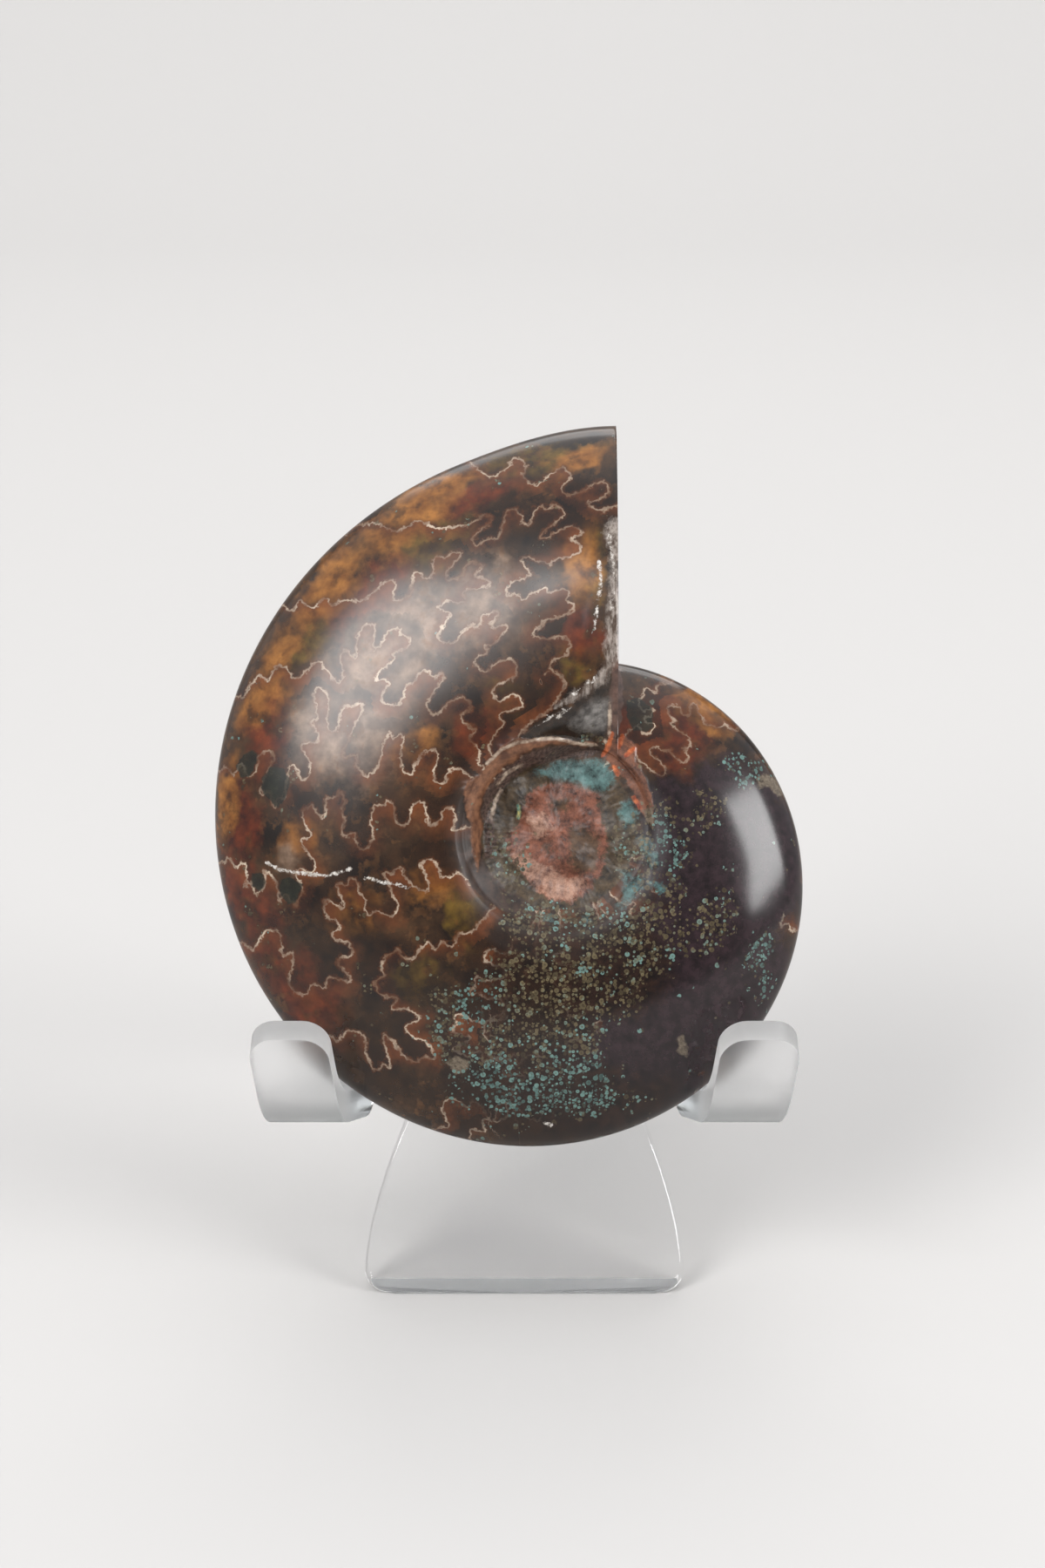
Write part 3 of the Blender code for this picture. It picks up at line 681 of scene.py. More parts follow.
def nearestOn(line, x, z):
    # mm from each point to the line
    away = np.full(len(x), 99.0)
    for (x0, z0), (x1, z1) in zip(line, line[1:]):
        t = ((x - x0) * (x1 - x0) + (z - z0) * (z1 - z0)) / ((x1 - x0) ** 2 + (z1 - z0) ** 2)
        t = np.clip(t, 0, 1)
        away = np.minimum(away, np.hypot(x - x0 - t * (x1 - x0), z - z0 - t * (z1 - z0)))
    return away


def patchField(outlines, x, z):
    # mm inside the outlines, and below zero outside them
    depth = np.full(len(x), -1.0)
    for outline in outlines:
        closed = outline + outline[:1]
        inside = np.zeros(len(x), bool)
        for (x0, z0), (x1, z1) in zip(closed, closed[1:]):
            if z0 != z1:
                inside ^= ((z0 > z) != (z1 > z)) & (x < (x1 - x0) * (z - z0) / (z1 - z0) + x0)
        away = nearestOn(closed, x, z)
        depth = np.maximum(depth, np.clip(np.where(inside, away, -away), -1, 1))
    return depth


def allPatches():
    found = {name: list(outlines) for name, outlines in patches.items()}
    for name, (height, outlines) in patchTraces.items():
        placed = [fromPhoto(outline, height).tolist() for outline in outlines]
        found[name] = found.get(name, []) + placed
    return found


def strokeField(lines, x, z):
    away = np.min([nearestOn(line, x, z) for line in lines], axis=0)
    return np.clip(markings["strokeHalf"] - away, -1, 1)


def stoneFields(points):
    x, y, z = points.T
    fields = sutureFields(points)
    drift = markings["waver"] * mm
    driftX = x + drift * waver(points, markings["waverSize"], 3.0)
    driftZ = z + drift * waver(points, markings["waverSize"], 11.0)
    toFront = smooth((1.5 * mm - y) / (3 * mm))
    for name in zones["front"]:
        front = zoneField(zones["front"][name], driftX, driftZ)
        back = zoneField(zones["back"][name], driftX, driftZ)
        fields[name] = front * toFront + back * (1 - toFront)
    fray = markings["fray"]
    frayX = x / mm + fray * waver(points, markings["fraySize"], 5.0)
    frayZ = z / mm + fray * waver(points, markings["fraySize"], 9.0)
    for name, outlines in allPatches().items():
        fields[name] = np.where(y < 0, patchField(outlines, frayX, frayZ), -1.0)
    for name, lines in strokes.items():
        fields[name] = np.where(y < 0, strokeField(lines, x / mm, z / mm), -1.0)
    away = np.hypot(frayX - stone["navelX"] / mm, frayZ - stone["navelZ"] / mm)
    fields["matrix"] = smooth((navel["matrixRadius"] - away) / 0.8)
    polished = np.maximum(fields["facet"], fields["strip"])
    fields["matte"] = smooth((navel["matteRadius"] - away) / 2.5) * smooth(0.5 - polished / 0.4)
    fields["left"] = smooth((4 * mm - x) / (14 * mm))
    return fields


def addRelief(points, fields):
    # Lumps, steps and chips of the real surface, pushed along the thickness of the stone
    x, y, z = points.T
    n = navel
    rough = n["lumps"] * waver(points, n["lumpSize"], 21.0)
    rough += n["grit"] * waver(points, n["gritSize"], 31.0, 2)
    rise = rough * fields["matrix"]
    for name in ("ledge", "flakes", "crust"):
        rise += n[name + "Rise"] * smooth(0.5 + fields[name] / 0.3)
    wall = smooth(0.5 + fields["wall"] / 0.3)
    angle = np.arctan2(z - stone["navelZ"], x - stone["navelX"])
    rise += n["striae"] * np.sin(angle * 90 + 4 * rough) * wall
    rim = rimRadius(np.where(angle < stone["tipAngle"], angle + 2 * pi, angle))
    inner = smooth((rim - np.hypot(x, z)) / (3 * mm))
    rise += n["swell"] * waver(points, n["swellSize"], 41.0, 2) * inner
    toCut = 1 - np.abs(stone["cutX"] - x) / (n["chipReach"] * mm)
    chip = smooth(toCut) * smooth((waver(points, n["chipSize"], 51.0) - 0.1) / 0.35)
    above = smooth((z - 20 * mm) / (3 * mm)) * inner
    rise -= n["chipDepth"] * chip * above
    fields["chipped"] = chip * above
    points[:, 1] += np.sign(y) * rise * mm


def wearSmooth(points, faces):
    # Rubs the crease of the navel away along its lower right, where it runs softly into the flank
    x, y, z = points.T
    edges = {tuple(sorted(pair)) for face in faces for pair in zip(face, face[1:] + face[:1])}
    away = np.hypot(x - stone["navelX"], z - stone["navelZ"]) / mm
    angle = np.degrees(np.arctan2(z - stone["navelZ"], x - stone["navelX"]))
    n = navel
    weight = smooth((away - n["wornInner"]) / 1.5) * smooth((n["wornOuter"] - away) / 2.0)
    weight *= smooth((angle - n["wornFrom"]) / 25) * smooth((n["wornTo"] - angle) / 25) * (y < 0)
    ends = np.array([e for e in edges if weight[e[0]] > 0 or weight[e[1]] > 0])
    count = np.bincount(ends.ravel(), minlength=len(points))
    for _ in range(n["wornPasses"]):
        total = np.bincount(ends[:, 0], points[ends[:, 1], 1], len(points))
        total += np.bincount(ends[:, 1], points[ends[:, 0], 1], len(points))
        mean = total / np.maximum(count, 1)
        points[:, 1] += 0.8 * weight * (mean - points[:, 1])


def addCutFields(points, cutIds, fields):
    # The sawn face, and the shell that shows as a light rim round it
    onCut = np.zeros(len(points), bool)
    onCut[cutIds] = True
    border = points[(np.abs(points[:, 0] - stone["cutX"]) < 0.05 * mm) & ~onCut]
    inward = np.array([np.sqrt(((border - p) ** 2).sum(axis=1).min()) for p in points[onCut]]) / mm
    fields["cutFace"] = onCut.astype(float)
    fields["cutRim"] = np.zeros(len(points))
    fields["cutRim"][onCut] = smooth((stone["shellOnCut"] - inward) / 0.3 + 0.5)
    fields["matte"] = np.maximum(fields["matte"], 0.6 * onCut)


def storeFields(mesh, fields):
    for name, values in fields.items():
        attribute = mesh.attributes.new(name, "FLOAT", "POINT")
        attribute.data.foreach_set("value", values.astype(np.float32))


points, faces, cutIds = buildStoneMesh()
wearSmooth(points, [tuple(face) for face in faces])
fields = stoneFields(points)
addCutFields(points, cutIds, fields)
addRelief(points, fields)
print("stone markings laid out")
mesh = bpy.data.meshes.new("ammonite_polished")
mesh.from_pydata(points.tolist(), [], faces)
ammonite = bpy.data.objects.new("ammonite_polished", mesh)
bpy.context.scene.collection.objects.link(ammonite)
storeFields(mesh, fields)
mesh.transform(tilt)
corners = np.array([v.co for v in mesh.vertices])
cadLow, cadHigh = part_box("ammonite")
shift = boxMiddle(cadLow, cadHigh) - boxMiddle(corners.min(axis=0), corners.max(axis=0))
placeInRow = Matrix.Translation(shift) @ tilt
mesh.transform(Matrix.Translation(shift))
mesh.shade_smooth()
print("stone", len(mesh.vertices), "points, pole at", [round(v / mm, 2) for v in shift])

# Stand: its shape

stand = {
    "sheet": 4.0 * mm,
    "footZ": -51.5 * mm,
    "centreX": -4.6 * mm,
    "frontY": 11.6 * mm,
    "footHalf": 18.9 * mm,
    "neckHalf": 12.0 * mm,
    "neckZ": -26.0 * mm,
    "footRound": 3.0 * mm,
    "shoulderHalf": 24.0 * mm,
    "shoulderZ": -17.0 * mm,
    "topHalf": 13.0 * mm,
    "foldZ": 8.0 * mm,
    "foldRadius": 5.0 * mm,
    "backLean": radians(31),
    "backHalf": 15.0 * mm,
    "belowGround": 4.0 * mm,
    "edgeRound": 0.7 * mm,           # the cut edges are flame polished
    "edgeSegments": 3,
    "tongue": 3.6 * mm,
    "armHalf": 4.5 * mm,
    "armTopZ": -26.9 * mm,
    "rootTopZ": -13.0 * mm,
    "rootRadius": 4.0 * mm,
    "rootX": 21.3 * mm,
    "armDrift": 0.29,
    "driftLoss": 3.5,                # per metre
    "hookStartY": 2.0 * mm,
    "hookRadius": 8.0 * mm,
    "hookTurn": radians(57),
    "hookTip": 6.9 * mm,
    "tipRound": 3.0 * mm,
}


def frontHalf(z):
    # Half width of the front leg, the shoulder of the tongues and the backrest
    s = stand
    up = min(max((z - s["footZ"]) / (s["neckZ"] - s["footZ"]), 0.0), 1.0)
    corner = min(max(1 - (z - s["footZ"]) / s["footRound"], 0.0), 1.0)
    half = s["neckHalf"] + (s["footHalf"] - s["neckHalf"]) * cos(up * pi / 2)
    half -= s["footRound"] * (1 - sqrt(1 - corner ** 2))
    toShoulder = smooth((z - s["neckZ"]) / (s["shoulderZ"] - s["neckZ"]))
    toTop = smooth((z - s["shoulderZ"]) / (s["foldZ"] - s["shoulderZ"]))
    half += (s["shoulderHalf"] - s["neckHalf"]) * toShoulder
    return float(half - (s["shoulderHalf"] - s["topHalf"]) * toTop)


def stepsBetween(low, high, steps):
    return [low + (high - low) * k / steps for k in range(1, steps + 1)]


def sheetStations():
    s = stand
    middleY = s["frontY"] + s["sheet"] / 2
    rounding = [1 - cos(k / 8 * pi / 2) for k in range(9)]
    heights = [s["footZ"] - s["belowGround"]] + [s["footZ"] + s["footRound"] * r for r in rounding]
    heights += stepsBetween(heights[-1], s["neckZ"], 16)
    heights += stepsBetween(s["neckZ"], s["shoulderZ"], 14)
    heights += stepsBetween(s["shoulderZ"], s["foldZ"], 14)
    stations = [(Vector((s["centreX"], middleY, z)), frontHalf(z)) for z in heights]
    for angle in stepsBetween(0, pi - s["backLean"] - lean, 28):
        y = middleY + s["foldRadius"] * (1 - cos(angle))
        z = s["foldZ"] + s["foldRadius"] * sin(angle)
        stations.append((Vector((s["centreX"], y, z)), s["topHalf"]))
    foldEnd = stations[-1][0]
    down = Vector((0, sin(s["backLean"] + lean), -cos(s["backLean"] + lean)))
    height = (foldEnd.z - s["footZ"]) * cos(lean) - (foldEnd.y - s["frontY"]) * sin(lean)
    length = (height + s["belowGround"]) / cos(s["backLean"])
    for share in stepsBetween(0, 1, 14):
        half = s["topHalf"] + (s["backHalf"] - s["topHalf"]) * float(smooth(share))
        stations.append((foldEnd + down * length * share, half))
    return stations


def armStations(hand):
    # A tongue of the sheet, bent forward at its root and up again into a hook
    s = stand
    middleY = s["frontY"] + s["sheet"] / 2
    armZ = s["armTopZ"] - s["tongue"] / 2
    rootZ = armZ + s["rootRadius"]
    rootY = middleY - s["rootRadius"]
    path = [(rootZ - s["rootTopZ"], middleY, s["rootTopZ"], s["armHalf"])]
    path.append((0, middleY, rootZ, s["armHalf"]))
    for angle in stepsBetween(0, pi / 2, 10):
        y = rootY + s["rootRadius"] * cos(angle)
        z = rootZ - s["rootRadius"] * sin(angle)
        path.append((s["rootRadius"] * angle, y, z, s["armHalf"]))
    reached = path[-1][0]
    for run in stepsBetween(0, rootY - s["hookStartY"], 6):
        path.append((reached + run, rootY - run, armZ, s["armHalf"]))
    reached = path[-1][0]
    for angle in stepsBetween(0, s["hookTurn"], 16):
        y = s["hookStartY"] - s["hookRadius"] * sin(angle)
        z = armZ + s["hookRadius"] * (1 - cos(angle))
        path.append((reached + s["hookRadius"] * angle, y, z, s["armHalf"]))
    reached, endY, endZ, _ = path[-1]
    for angle in [0] + stepsBetween(0, pi / 2, 10):
        along = s["hookTip"] - s["tipRound"] * (1 - sin(angle))
        y = endY - along * cos(s["hookTurn"])
        z = endZ + along * sin(s["hookTurn"])
        path.append((reached + along, y, z, s["armHalf"] - s["tipRound"] * (1 - cos(angle))))
    stations = []
    for run, y, z, half in path:
        spread = s["rootX"] + s["armDrift"] * run - s["driftLoss"] * run * abs(run)
        stations.append((Vector((s["centreX"] + hand * spread, y, z)), half))
    return stations


def makeStrip(name, stations, thickness):
    bm = bmesh.new()
    rows = []
    for middle, half in stations:
        rows.append([bm.verts.new(middle + Vector((half * k, 0, 0))) for k in (-1, 0, 1)])
    for low, high in zip(rows, rows[1:]):
        for k in (0, 1):
            bm.faces.new((low[k], low[k + 1], high[k + 1], high[k]))
    stripMesh = bpy.data.meshes.new(name)
    bm.to_mesh(stripMesh)
    bm.free()
    strip = bpy.data.objects.new(name, stripMesh)
    bpy.context.scene.collection.objects.link(strip)
    solid = strip.modifiers.new("sheet", "SOLIDIFY")
    solid.thickness = thickness
    solid.offset = 0.0
    edges = strip.modifiers.new("edges", "BEVEL")
    edges.width = stand["edgeRound"]
    edges.segments = stand["edgeSegments"]
    edges.limit_method = "ANGLE"
    edges.angle_limit = radians(50)
    return strip


def makeStand():
    easel = makeStrip("acrylic_easel", sheetStations(), stand["sheet"])
    cutters = []
    for hand in (-1, 1):
        arm = makeStrip("arm", armStations(hand), stand["tongue"])
        cutters.append(arm)
        union = easel.modifiers.new("arm", "BOOLEAN")
        union.operation = "UNION"
        union.object = arm
    # a block below the floor cuts both feet level
    bm = bmesh.new()
    wide, depth = 300 * mm, 40 * mm
    block = Matrix.Translation((0, 0, -depth / 2)) @ Matrix.Diagonal((wide, wide, depth, 1))
    bmesh.ops.create_cube(bm, size=1.0, matrix=placeInRow.inverted() @ block)
    groundMesh = bpy.data.meshes.new("ground")
    bm.to_mesh(groundMesh)
    bm.free()
    ground = bpy.data.objects.new("ground", groundMesh)
    bpy.context.scene.collection.objects.link(ground)
    cutters.append(ground)
    level = easel.modifiers.new("level", "BOOLEAN")
    level.operation = "DIFFERENCE"
    level.object = ground
    graph = bpy.context.evaluated_depsgraph_get()
    finished = bpy.data.meshes.new_from_object(easel.evaluated_get(graph))
    easel.modifiers.clear()
    easel.data = finished
    for cutter in cutters:
        bpy.data.objects.remove(cutter, do_unlink=True)
    finished.transform(placeInRow)
    finished.shade_smooth()
    finished.set_sharp_from_angle(angle=radians(40))
    weighted = easel.modifiers.new("flat_faces_stay_flat", "WEIGHTED_NORMAL")
    weighted.keep_sharp = True
    return easel


easel = makeStand()
print("easel", len(easel.data.vertices), "points")

# Finishes

# roughness of each finish of the easel
acrylic = {"clear_cast_acrylic": 0.02, "heat_bent_acrylic": 0.45, "sawn_acrylic_foot": 1.0}


def clearAcrylic(name, roughness):
    # Cast acrylic: bright and water clear, and only deep inside does it hold a breath of grey
    material = newMaterial(name)
    surface = addNode(material, "ShaderNodeBsdfPrincipled", {
        "Base Color": linear("#ffffff"), "Roughness": roughness, "IOR": 1.49, "Transmission Weight": 1.0})
    depth = addNode(material, "ShaderNodeVolumeAbsorption", {"Color": linear("#f0f2f2"), "Density": 3.0})
    addNode(material, "ShaderNodeOutputMaterial", {"Surface": surface, "Volume": depth})
    return material


def dressEasel():
    # The flat sheet is glossy. The heated arms and hooks went slightly hazy, so they look whitish,
    # and the sawn foot is satin.
    data = easel.data
    data.materials.clear()
    for name, roughness in acrylic.items():
        data.materials.append(clearAcrylic(name, roughness))
    toStone = placeInRow.inverted()
    for face in data.polygons:
        if (toStone @ face.center).y < stand["frontY"] - 0.2 * mm:
            face.material_index = 1
        elif face.normal.z < -0.95 and face.center.z < 1 * mm:
            face.material_index = 2


# Colours of the stone in its polished face, and the size of its patterns
calcite = {
    "depth": 0.60,                   # light is lost inside, so every tone is this much darker
    "chamber": ("#1b1009", "#4d3521"),           # clear and milky calcite that fills the chambers
    # soft zones under the sutures: darker and lighter tone, then where a zone starts and is full, and
    # how well it covers
    "zones": {
        # milky calcite, partly a painted highlight: its warm light tone copies the veil of the left lamp's
        # reflection
        "milkyAndSheen": ("#624937", "#ab8d76"),
        "olive": ("#3a2a10", "#7c6024"),
        "rust": ("#45190d", "#7d3618"),
        "amber": ("#84501f", "#b97a38"),
        "dusk": ("#140b07", "#34200f"),
    },
    "zoneEdge": (0.05, 1.0, 0.85),
    "blotch": ("#150c07", "#24160c"),
    # lobes and saddles beside a suture: tones, how far the line curls round them, mm from it where the
    # tone starts and is full, and how well it covers
    "lobe": (("#1d0f08", "#2f1a0f"), (0.45, 0.0), (2.4, 0.9), 0.7),
    "saddle": (("#3c1e11", "#7d4422"), (-0.5, 0.0), (1.8, 0.4), 0.75),
    "rim": ("#4f2813", "#7c4522"), "rimReach": (0.45, 0.1), "rimCover": 0.45,
    "line": ("#7a5d48", "#dcc8b0"), "lineHalf": 0.09, "lineWear": (0.15, 0.95),
    # crusts and shell over the sutures, in the order they lie: darker and lighter tone, pattern,
    # where the edge is, how soft and how frayed it is, and how well it covers
    "covers": {
        "plum": ("#1b1214", "#35262a", "fine", 0.5, 0.20, 0.9, 1.0),
        "overgrown": ("#140c08", "#301e13", "fine", 0.5, 0.30, 1.4, 0.85),
        "green": ("#161a15", "#2a2d22", "fine", 0.0, 0.10, 0.5, 0.85),
        "matrix": ("#120b07", "#5a4832", "clumps", 0.5, 0.20, 0.9, 1.0),
        "core": ("#33180f", "#9c604a", "clumps", 0.0, 0.25, 2.6, 0.92),
        # pale core: partly pale stone, partly painted light on the side of the bowl that faces the lamps
        "corePaleAndLit": ("#5f382c", "#cfa48c", "clumps", 0.0, 0.35, 3.2, 0.8),
        "coreDark": ("#17100b", "#54452d", "clumps", 0.0, 0.35, 3.2, 0.8),
        "crust": ("#223333", "#6a9593", "clumps", 0.05, 0.35, 3.2, 0.8),
        "dull": ("#261a15", "#4a372d", "fine", 0.0, 0.15, 0.6, 1.0),
        "wall": ("#251a16", "#6b544a", "grit", 0.0, 0.15, 0.8, 1.0),
        "ledge": ("#54321f", "#946446", "fine", 0.0, 0.12, 0.4, 1.0),
        "strip": ("#4a3730", "#75584c", "fine", 0.0, 0.08, 0.2, 1.0),
        "flakes": ("#35201a", "#8f5c44", "clumps", 0.0, 0.10, 0.8, 1.0),
        "facet": ("#17110d", "#3d3026", "fine", 0.0, 0.30, 0.8, 1.0),
        # painted highlight: pale grey where the shoulder would shine in the lamp's reflection
        "paintedHighlight": ("#5f5a56", "#a8a39e", "fine", 0.0, 0.70, 0.8, 0.8),
        "worn": ("#54453b", "#b3a79d", "streaks", 0.0, 0.30, 1.6, 0.85),
        "buff": ("#54493c", "#857765", "grit", 0.0, 0.15, 0.8, 0.9),
        "ember": ("#8a3010", "#ea8550", "fine", -0.08, 0.10, 0.5, 0.95),
        "glint": ("#4fa8a0", "#e8d37a", "grit", 0.0, 0.12, 0.5, 0.9),
        "lip": ("#7d614e", "#e0cbb4", "fine", 0.0, 0.10, 0.4, 0.95),
        "scratch": ("#948779", "#f2ece4", "grit", 0.05, 0.08, 1.3, 0.95),
        "chipped": ("#6f655b", "#c8bfb4", "grit", 0.5, 0.30, 1.0, 0.9),
        "cutFace": ("#2c1b0f", "#8f6437", "cloudy", 0.5, 0.10, 0.0, 1.0),
        "cutRim": ("#75685a", "#c4b7a5", "grit", 0.5, 0.25, 0.6, 1.0),
    },
    # little balls: size in mm, tan and copper-blue tones
    "grains": (0.74, 0.52, 0.38), "grainTan": ("#2e2519", "#7d7053"), "grainBlue": ("#263f3e", "#6b9894"),
    "grainCrowd": 0.72, "grainCover": 0.85,
    # roughness of the polish at the right, what the left adds to it, and that of dull shell
    "polish": 0.16, "polishLeft": 0.08, "dullShell": 0.5,
    # patterns: size in mm, detail, roughness, and the values that become 0 and 1. Real grit and
    # grinding marks are under 0.1 mm, too fine to show, so grit and streaks are drawn coarser.
    "patterns": {
        "mottle": (5.5, 5.0, 0.60, 0.38, 0.62),
        "blotches": (2.4, 4.0, 0.55, 0.50, 0.64),
        "depths": (1.9, 3.0, 0.50, 0.34, 0.66),
        "fine": (1.1, 4.0, 0.62, 0.34, 0.66),
        "clumps": (1.5, 8.0, 0.78, 0.36, 0.62),
        "cloudy": (6.0, 7.0, 0.66, 0.36, 0.62),
        "frill": (0.62, 3.0, 0.60, 0.4, 0.6),
        "grit": (0.42, 4.0, 0.75, 0.36, 0.62),
        "streaks": (0.55, 4.0, 0.65, 0.40, 0.62),
    },
}


def polishedCalcite():
    # Calcite, pyrite and shell, ground and polished: glassy and deep brown, because light goes into
    # it. The chamber walls show as thin cream lines with rusty edges, and copper salts as blue grains.
    m = newMaterial("polished_ammonite")
    c = calcite
    math, blend, spread = "ShaderNodeMath", "ShaderNodeMix", "ShaderNodeMapRange"
    place = addNode(m, "ShaderNodeTexCoord", output="Object")
    drawnOut = addNode(m, "ShaderNodeVectorMath", {0: place, 1: (1, 1, 0.1)}, operation="MULTIPLY")
    field = {name: addNode(m, "ShaderNodeAttribute", output="Fac", attribute_name=name) for name in fields}
    offset, even = {}, {}
    for name, (size, detail, roughness, low, high) in c["patterns"].items():
        value = addNode(m, "ShaderNodeTexNoise", {
            "Vector": drawnOut if name == "streaks" else place, "Scale": 1 / (size * mm),
            "Detail": detail, "Roughness": roughness})
        offset[name] = addNode(m, math, {0: value, 1: 0.5}, operation="SUBTRACT")
        even[name] = addNode(m, spread, {"Value": value, "From Min": low, "From Max": high})

    # every layer: how far it covers, darker and lighter tone, and the pattern between the two
    layers = [(1.0, c["chamber"], even["mottle"])]
    for name, tones in c["zones"].items():
        # the finer patterns break up the edge of each zone
        edge = addNode(m, math, {0: offset["fine"], 1: 0.9, 2: field[name]}, operation="MULTIPLY_ADD")
        edge = addNode(m, math, {0: offset["blotches"], 1: 1.6, 2: edge}, operation="MULTIPLY_ADD")
        start, full, cover = c["zoneEdge"]
        share = addNode(m, spread, {"Value": edge, "From Min": start, "From Max": full, "To Max": cover})
        layers.append((share, tones, even["depths"]))
    clear = addNode(m, math, {0: field["milkyAndSheen"], 1: -0.45, 2: 0.6}, operation="MULTIPLY_ADD")
    share = addNode(m, math, {0: even["blotches"], 1: clear}, operation="MULTIPLY")
    layers.append((share, c["blotch"], even["fine"]))

    # sutures: the lobes are dark on the mouth's side, the saddles rusty on the other
    seam = addNode(m, math, {0: offset["frill"], 1: 1.0, 2: field["seam"]}, operation="MULTIPLY_ADD")
    seam = addNode(m, math, {0: offset["fine"], 1: 0.8, 2: seam}, operation="MULTIPLY_ADD")
    mouthward = addNode(m, math, {0: seam, 1: field["turn"]}, operation="MULTIPLY")
    away = addNode(m, math, {0: seam}, operation="ABSOLUTE")
    ahead = addNode(m, spread, {"Value": mouthward, "From Min": -0.05, "From Max": 0.05})
    behind = addNode(m, math, {0: 1.0, 1: ahead}, operation="SUBTRACT")
    blurred = addNode(m, math, {0: offset["blotches"], 1: 2.4, 2: away}, operation="MULTIPLY_ADD")
    for side, (tones, turn, reach, strength) in ((ahead, c["lobe"]), (behind, c["saddle"])):
        inside = addNode(m, spread, {"Value": field["surround"], "From Min": turn[0], "From Max": turn[1]})
        near = addNode(m, spread, {"Value": blurred, "From Min": reach[0], "From Max": reach[1],
                                   "To Max": strength})
        share = addNode(m, math, {0: side, 1: inside}, operation="MULTIPLY")
        share = addNode(m, math, {0: share, 1: near}, operation="MULTIPLY")
        layers.append((share, tones, even["mottle"]))
    share = addNode(m, spread, {"Value": away, "From Min": c["rimReach"][0],
                                "From Max": c["rimReach"][1], "To Max": c["rimCover"]})
    layers.append((share, c["rim"], even["fine"]))
    line = addNode(m, spread, {"Value": away, "From Min": c["lineHalf"] * 2.0,
                               "From Max": c["lineHalf"] * 0.5})
    worn = addNode(m, spread, {"Value": offset["blotches"], "From Min": -0.14, "From Max": 0.1,
                               "To Min": c["lineWear"][0], "To Max": c["lineWear"][1]})
    share = addNode(m, math, {0: line, 1: worn}, operation="MULTIPLY")
    layers.append((share, c["line"], even["mottle"]))

    for name, (darker, lighter, pattern, middle, soft, fray, cover) in c["covers"].items():
        edge = addNode(m, math, {0: offset["fine"], 1: fray * 0.6, 2: field[name]}, operation="MULTIPLY_ADD")
        edge = addNode(m, math, {0: offset["grit"], 1: fray * 0.6, 2: edge}, operation="MULTIPLY_ADD")
        share = addNode(m, spread, {"Value": edge, "From Min": middle - soft, "From Max": middle + soft,
                                    "To Max": cover})
        layers.append((share, (darker, lighter), even[pattern]))

    # grains: little ringed balls, thick in some places and absent in others
    crowd = addNode(m, math, {0: offset["blotches"], 1: 2.6, 2: field["grains"]}, operation="MULTIPLY_ADD")
    crowd = addNode(m, spread, {"Value": crowd, "From Min": 0.25, "From Max": 1.3,
                                "To Max": c["grainCrowd"]})
    for size in c["grains"]:
        balls = addNode(m, "ShaderNodeTexVoronoi", {"Vector": place, "Scale": 1 / (size * mm)},
                        output="Distance")
        chance = addNode(m, "ShaderNodeSeparateColor", {"Color": balls.node.outputs["Color"]})
        hue = chance.node.outputs["Green"]
        present = addNode(m, math, {0: chance, 1: crowd}, operation="LESS_THAN")
        disc = addNode(m, spread, {"Value": balls, "From Min": 0.47, "From Max": 0.36})
        hollow = addNode(m, spread, {"Value": balls, "From Min": 0.05, "From Max": 0.32, "To Min": 0.35})
        share = addNode(m, math, {0: disc, 1: present}, operation="MULTIPLY")
        share = addNode(m, math, {0: share, 1: hollow}, operation="MULTIPLY")
        share = addNode(m, math, {0: share, 1: c["grainCover"]}, operation="MULTIPLY")
        blue = addNode(m, math, {0: field["teal"], 1: 0.5, 2: offset["mottle"]}, operation="MULTIPLY_ADD")
        blue = addNode(m, math, {0: hue, 1: 0.7, 2: blue}, operation="MULTIPLY_ADD")
        blue = addNode(m, spread, {"Value": blue, "From Min": 0.52, "From Max": 0.7})
        isBlue = addNode(m, math, {0: share, 1: blue}, operation="MULTIPLY")
        layers.append((share, c["grainTan"], hue))
        layers.append((isBlue, c["grainBlue"], hue))

    colour = None
    for share, tones, between in layers:
        darker, lighter = [linear(tone, c["depth"]) for tone in tones]
        tone = addNode(m, blend, {"Factor": between, "A": darker, "B": lighter}, data_type="RGBA")
        below = tone if colour is None else colour
        colour = addNode(m, blend, {"Factor": share, "A": below, "B": tone}, data_type="RGBA")

    polish = addNode(m, math, {0: field["left"], 1: c["polishLeft"], 2: c["polish"]},
                     operation="MULTIPLY_ADD")
    roughness = addNode(m, blend, {"Factor": field["matte"], "A": polish, "B": c["dullShell"]},
                        data_type="FLOAT")
    surface = addNode(m, "ShaderNodeBsdfPrincipled", {"Base Color": colour, "Roughness": roughness,
                                                      "Specular IOR Level": 0.4})
    addNode(m, "ShaderNodeOutputMaterial", {"Surface": surface})
    return m


mesh.materials.append(polishedCalcite())
dressEasel()

# Camera, floor and light


def makeCamera():
    data = bpy.data.cameras.new("camera")
    data.lens = camera["lens"]
    data.sensor_fit = "VERTICAL"
    data.sensor_height = camera["sensor"]
    data.clip_start = 0.01
    obj = bpy.data.objects.new("camera", data)
    bpy.context.scene.collection.objects.link(obj)
    obj.location = placeInRow @ Vector((camera["x"], -camera["distance"], camera["z"]))
    obj.rotation_euler = (pi / 2 - lean, 0, 0)
    bpy.context.scene.camera = obj


studio = {
    "paper": "#b2b0ae",
    "air": "#f4f6fa",
    "airBelow": 0.28, "airAbove": 1.25,          # how bright the room is, low in front and high behind
    "airUp": (0, 0.6, 0.8), "airSpan": (-0.5, 0.7),
    "floorZ": -0.1 * mm,             # the foot stands a hair above the paper
    "floorFront": -1.2,              # metres
    "sweepStart": 0.55,              # metres behind the object where the paper starts to rise
    "sweepRadius": 0.5,
    "sweepHeight": 1.3,
    "halfWidth": 1.6,
}

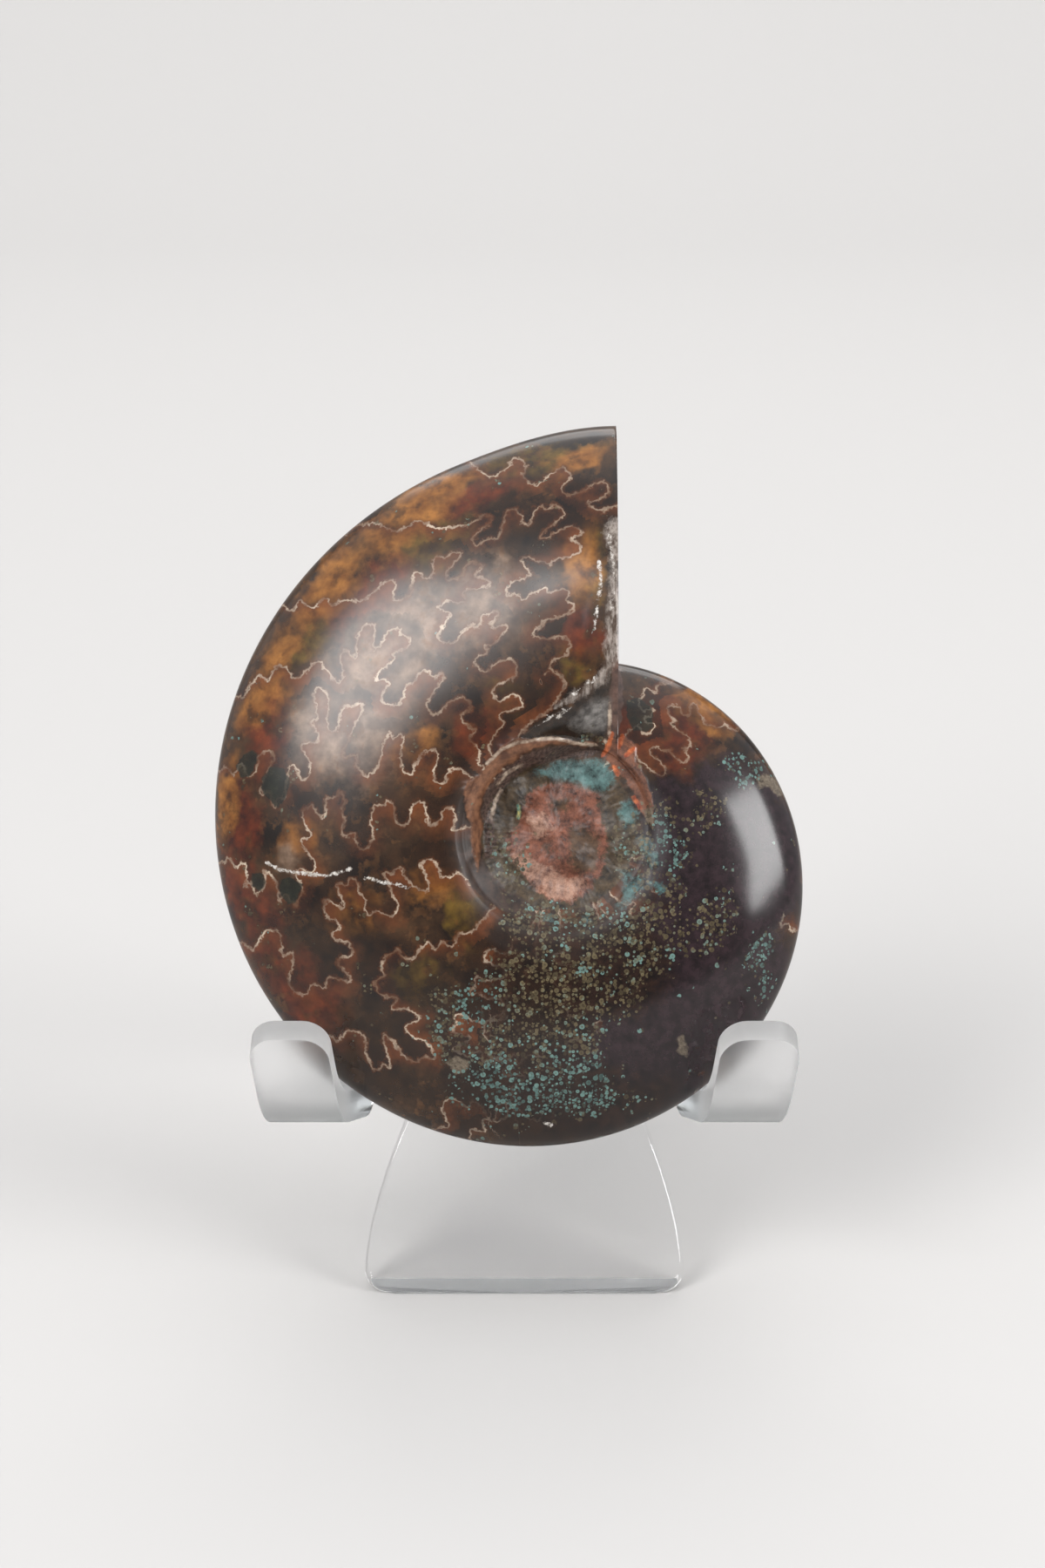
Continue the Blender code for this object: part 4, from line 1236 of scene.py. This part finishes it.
# azimuth 0 is straight in front of the stone, positive to the right; sizes and distance in metres
softboxes = {
    "window_left": {"azimuth": -38, "height": 35, "distance": 1.5, "size": (0.72, 0.78), "power": 20.0},
    "window_right": {"azimuth": 60, "height": 19, "distance": 1.2, "size": (0.60, 0.52), "power": 12.5},
    "ceiling": {"azimuth": 150, "height": 74, "distance": 1.3, "size": (1.3, 1.3), "power": 3.0},
}
backdropLamp = {"place": (0.0, 0.55, 0.60), "aim": (0.0, 0.25, 0.0), "size": (0.8, 0.3), "power": 2.2}


def makeFloor():
    bm = bmesh.new()
    profile = [(studio["floorFront"], 0.0), (studio["sweepStart"], 0.0)]
    for angle in stepsBetween(0, pi / 2, 24):
        y = studio["sweepStart"] + studio["sweepRadius"] * sin(angle)
        profile.append((y, studio["sweepRadius"] * (1 - cos(angle))))
    profile.append((profile[-1][0], studio["sweepHeight"]))
    half = studio["halfWidth"]
    rows = [[bm.verts.new((x, y, z + studio["floorZ"])) for x in (-half, half)] for y, z in profile]
    for low, high in zip(rows, rows[1:]):
        bm.faces.new((low[0], low[1], high[1], high[0]))
    floorMesh = bpy.data.meshes.new("paper_sweep")
    bm.to_mesh(floorMesh)
    bm.free()
    floorMesh.shade_smooth()
    floor = bpy.data.objects.new("paper_sweep", floorMesh)
    bpy.context.scene.collection.objects.link(floor)
    material = newMaterial("matt_paper")
    surface = addNode(material, "ShaderNodeBsdfPrincipled", {
        "Base Color": linear(studio["paper"]), "Roughness": 0.9, "Specular IOR Level": 0.2})
    addNode(material, "ShaderNodeOutputMaterial", {"Surface": surface})
    floorMesh.materials.append(material)


def addSoftbox(name, size, power, place, facing):
    # An area lamp at a place; facing points from what it lights back to the lamp
    data = bpy.data.lights.new(name, "AREA")
    data.shape = "RECTANGLE"
    data.size, data.size_y = size
    data.energy = power
    light = bpy.data.objects.new(name, data)
    bpy.context.scene.collection.objects.link(light)
    light.location = place
    light.rotation_euler = facing.to_track_quat("Z", "Y").to_euler()


def makeLights():
    aim = boxMiddle(cadLow, cadHigh)
    for name, box in softboxes.items():
        azimuth, height = radians(box["azimuth"]), radians(box["height"])
        away = Vector((sin(azimuth) * cos(height), -cos(azimuth) * cos(height), sin(height)))
        addSoftbox(name, box["size"], box["power"], aim + away * box["distance"], away)
    lamp = backdropLamp
    facing = Vector(lamp["place"]) - Vector(lamp["aim"])
    addSoftbox("backdrop", lamp["size"], lamp["power"], lamp["place"], facing)
    world = bpy.data.worlds.new("room")
    bpy.context.scene.world = world
    world.use_nodes = True
    world.node_tree.nodes.clear()
    around = addNode(world, "ShaderNodeTexCoord", output="Generated")
    upward = addNode(world, "ShaderNodeVectorMath", {0: around, 1: studio["airUp"]}, output="Value",
                     operation="DOT_PRODUCT")
    strength = addNode(world, "ShaderNodeMapRange", {
        "Value": upward, "From Min": studio["airSpan"][0], "From Max": studio["airSpan"][1],
        "To Min": studio["airBelow"], "To Max": studio["airAbove"]})
    air = addNode(world, "ShaderNodeBackground", {"Color": linear(studio["air"]), "Strength": strength})
    addNode(world, "ShaderNodeOutputWorld", {"Surface": air})


makeCamera()
makeFloor()
makeLights()
bpy.context.scene.view_settings.view_transform = "Standard"

for piece, node, slot in ((ammonite, "ammonite", "polished_calcite"), (easel, "stand", "clear_acrylic")):
    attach(piece, "root")
    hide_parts(node)
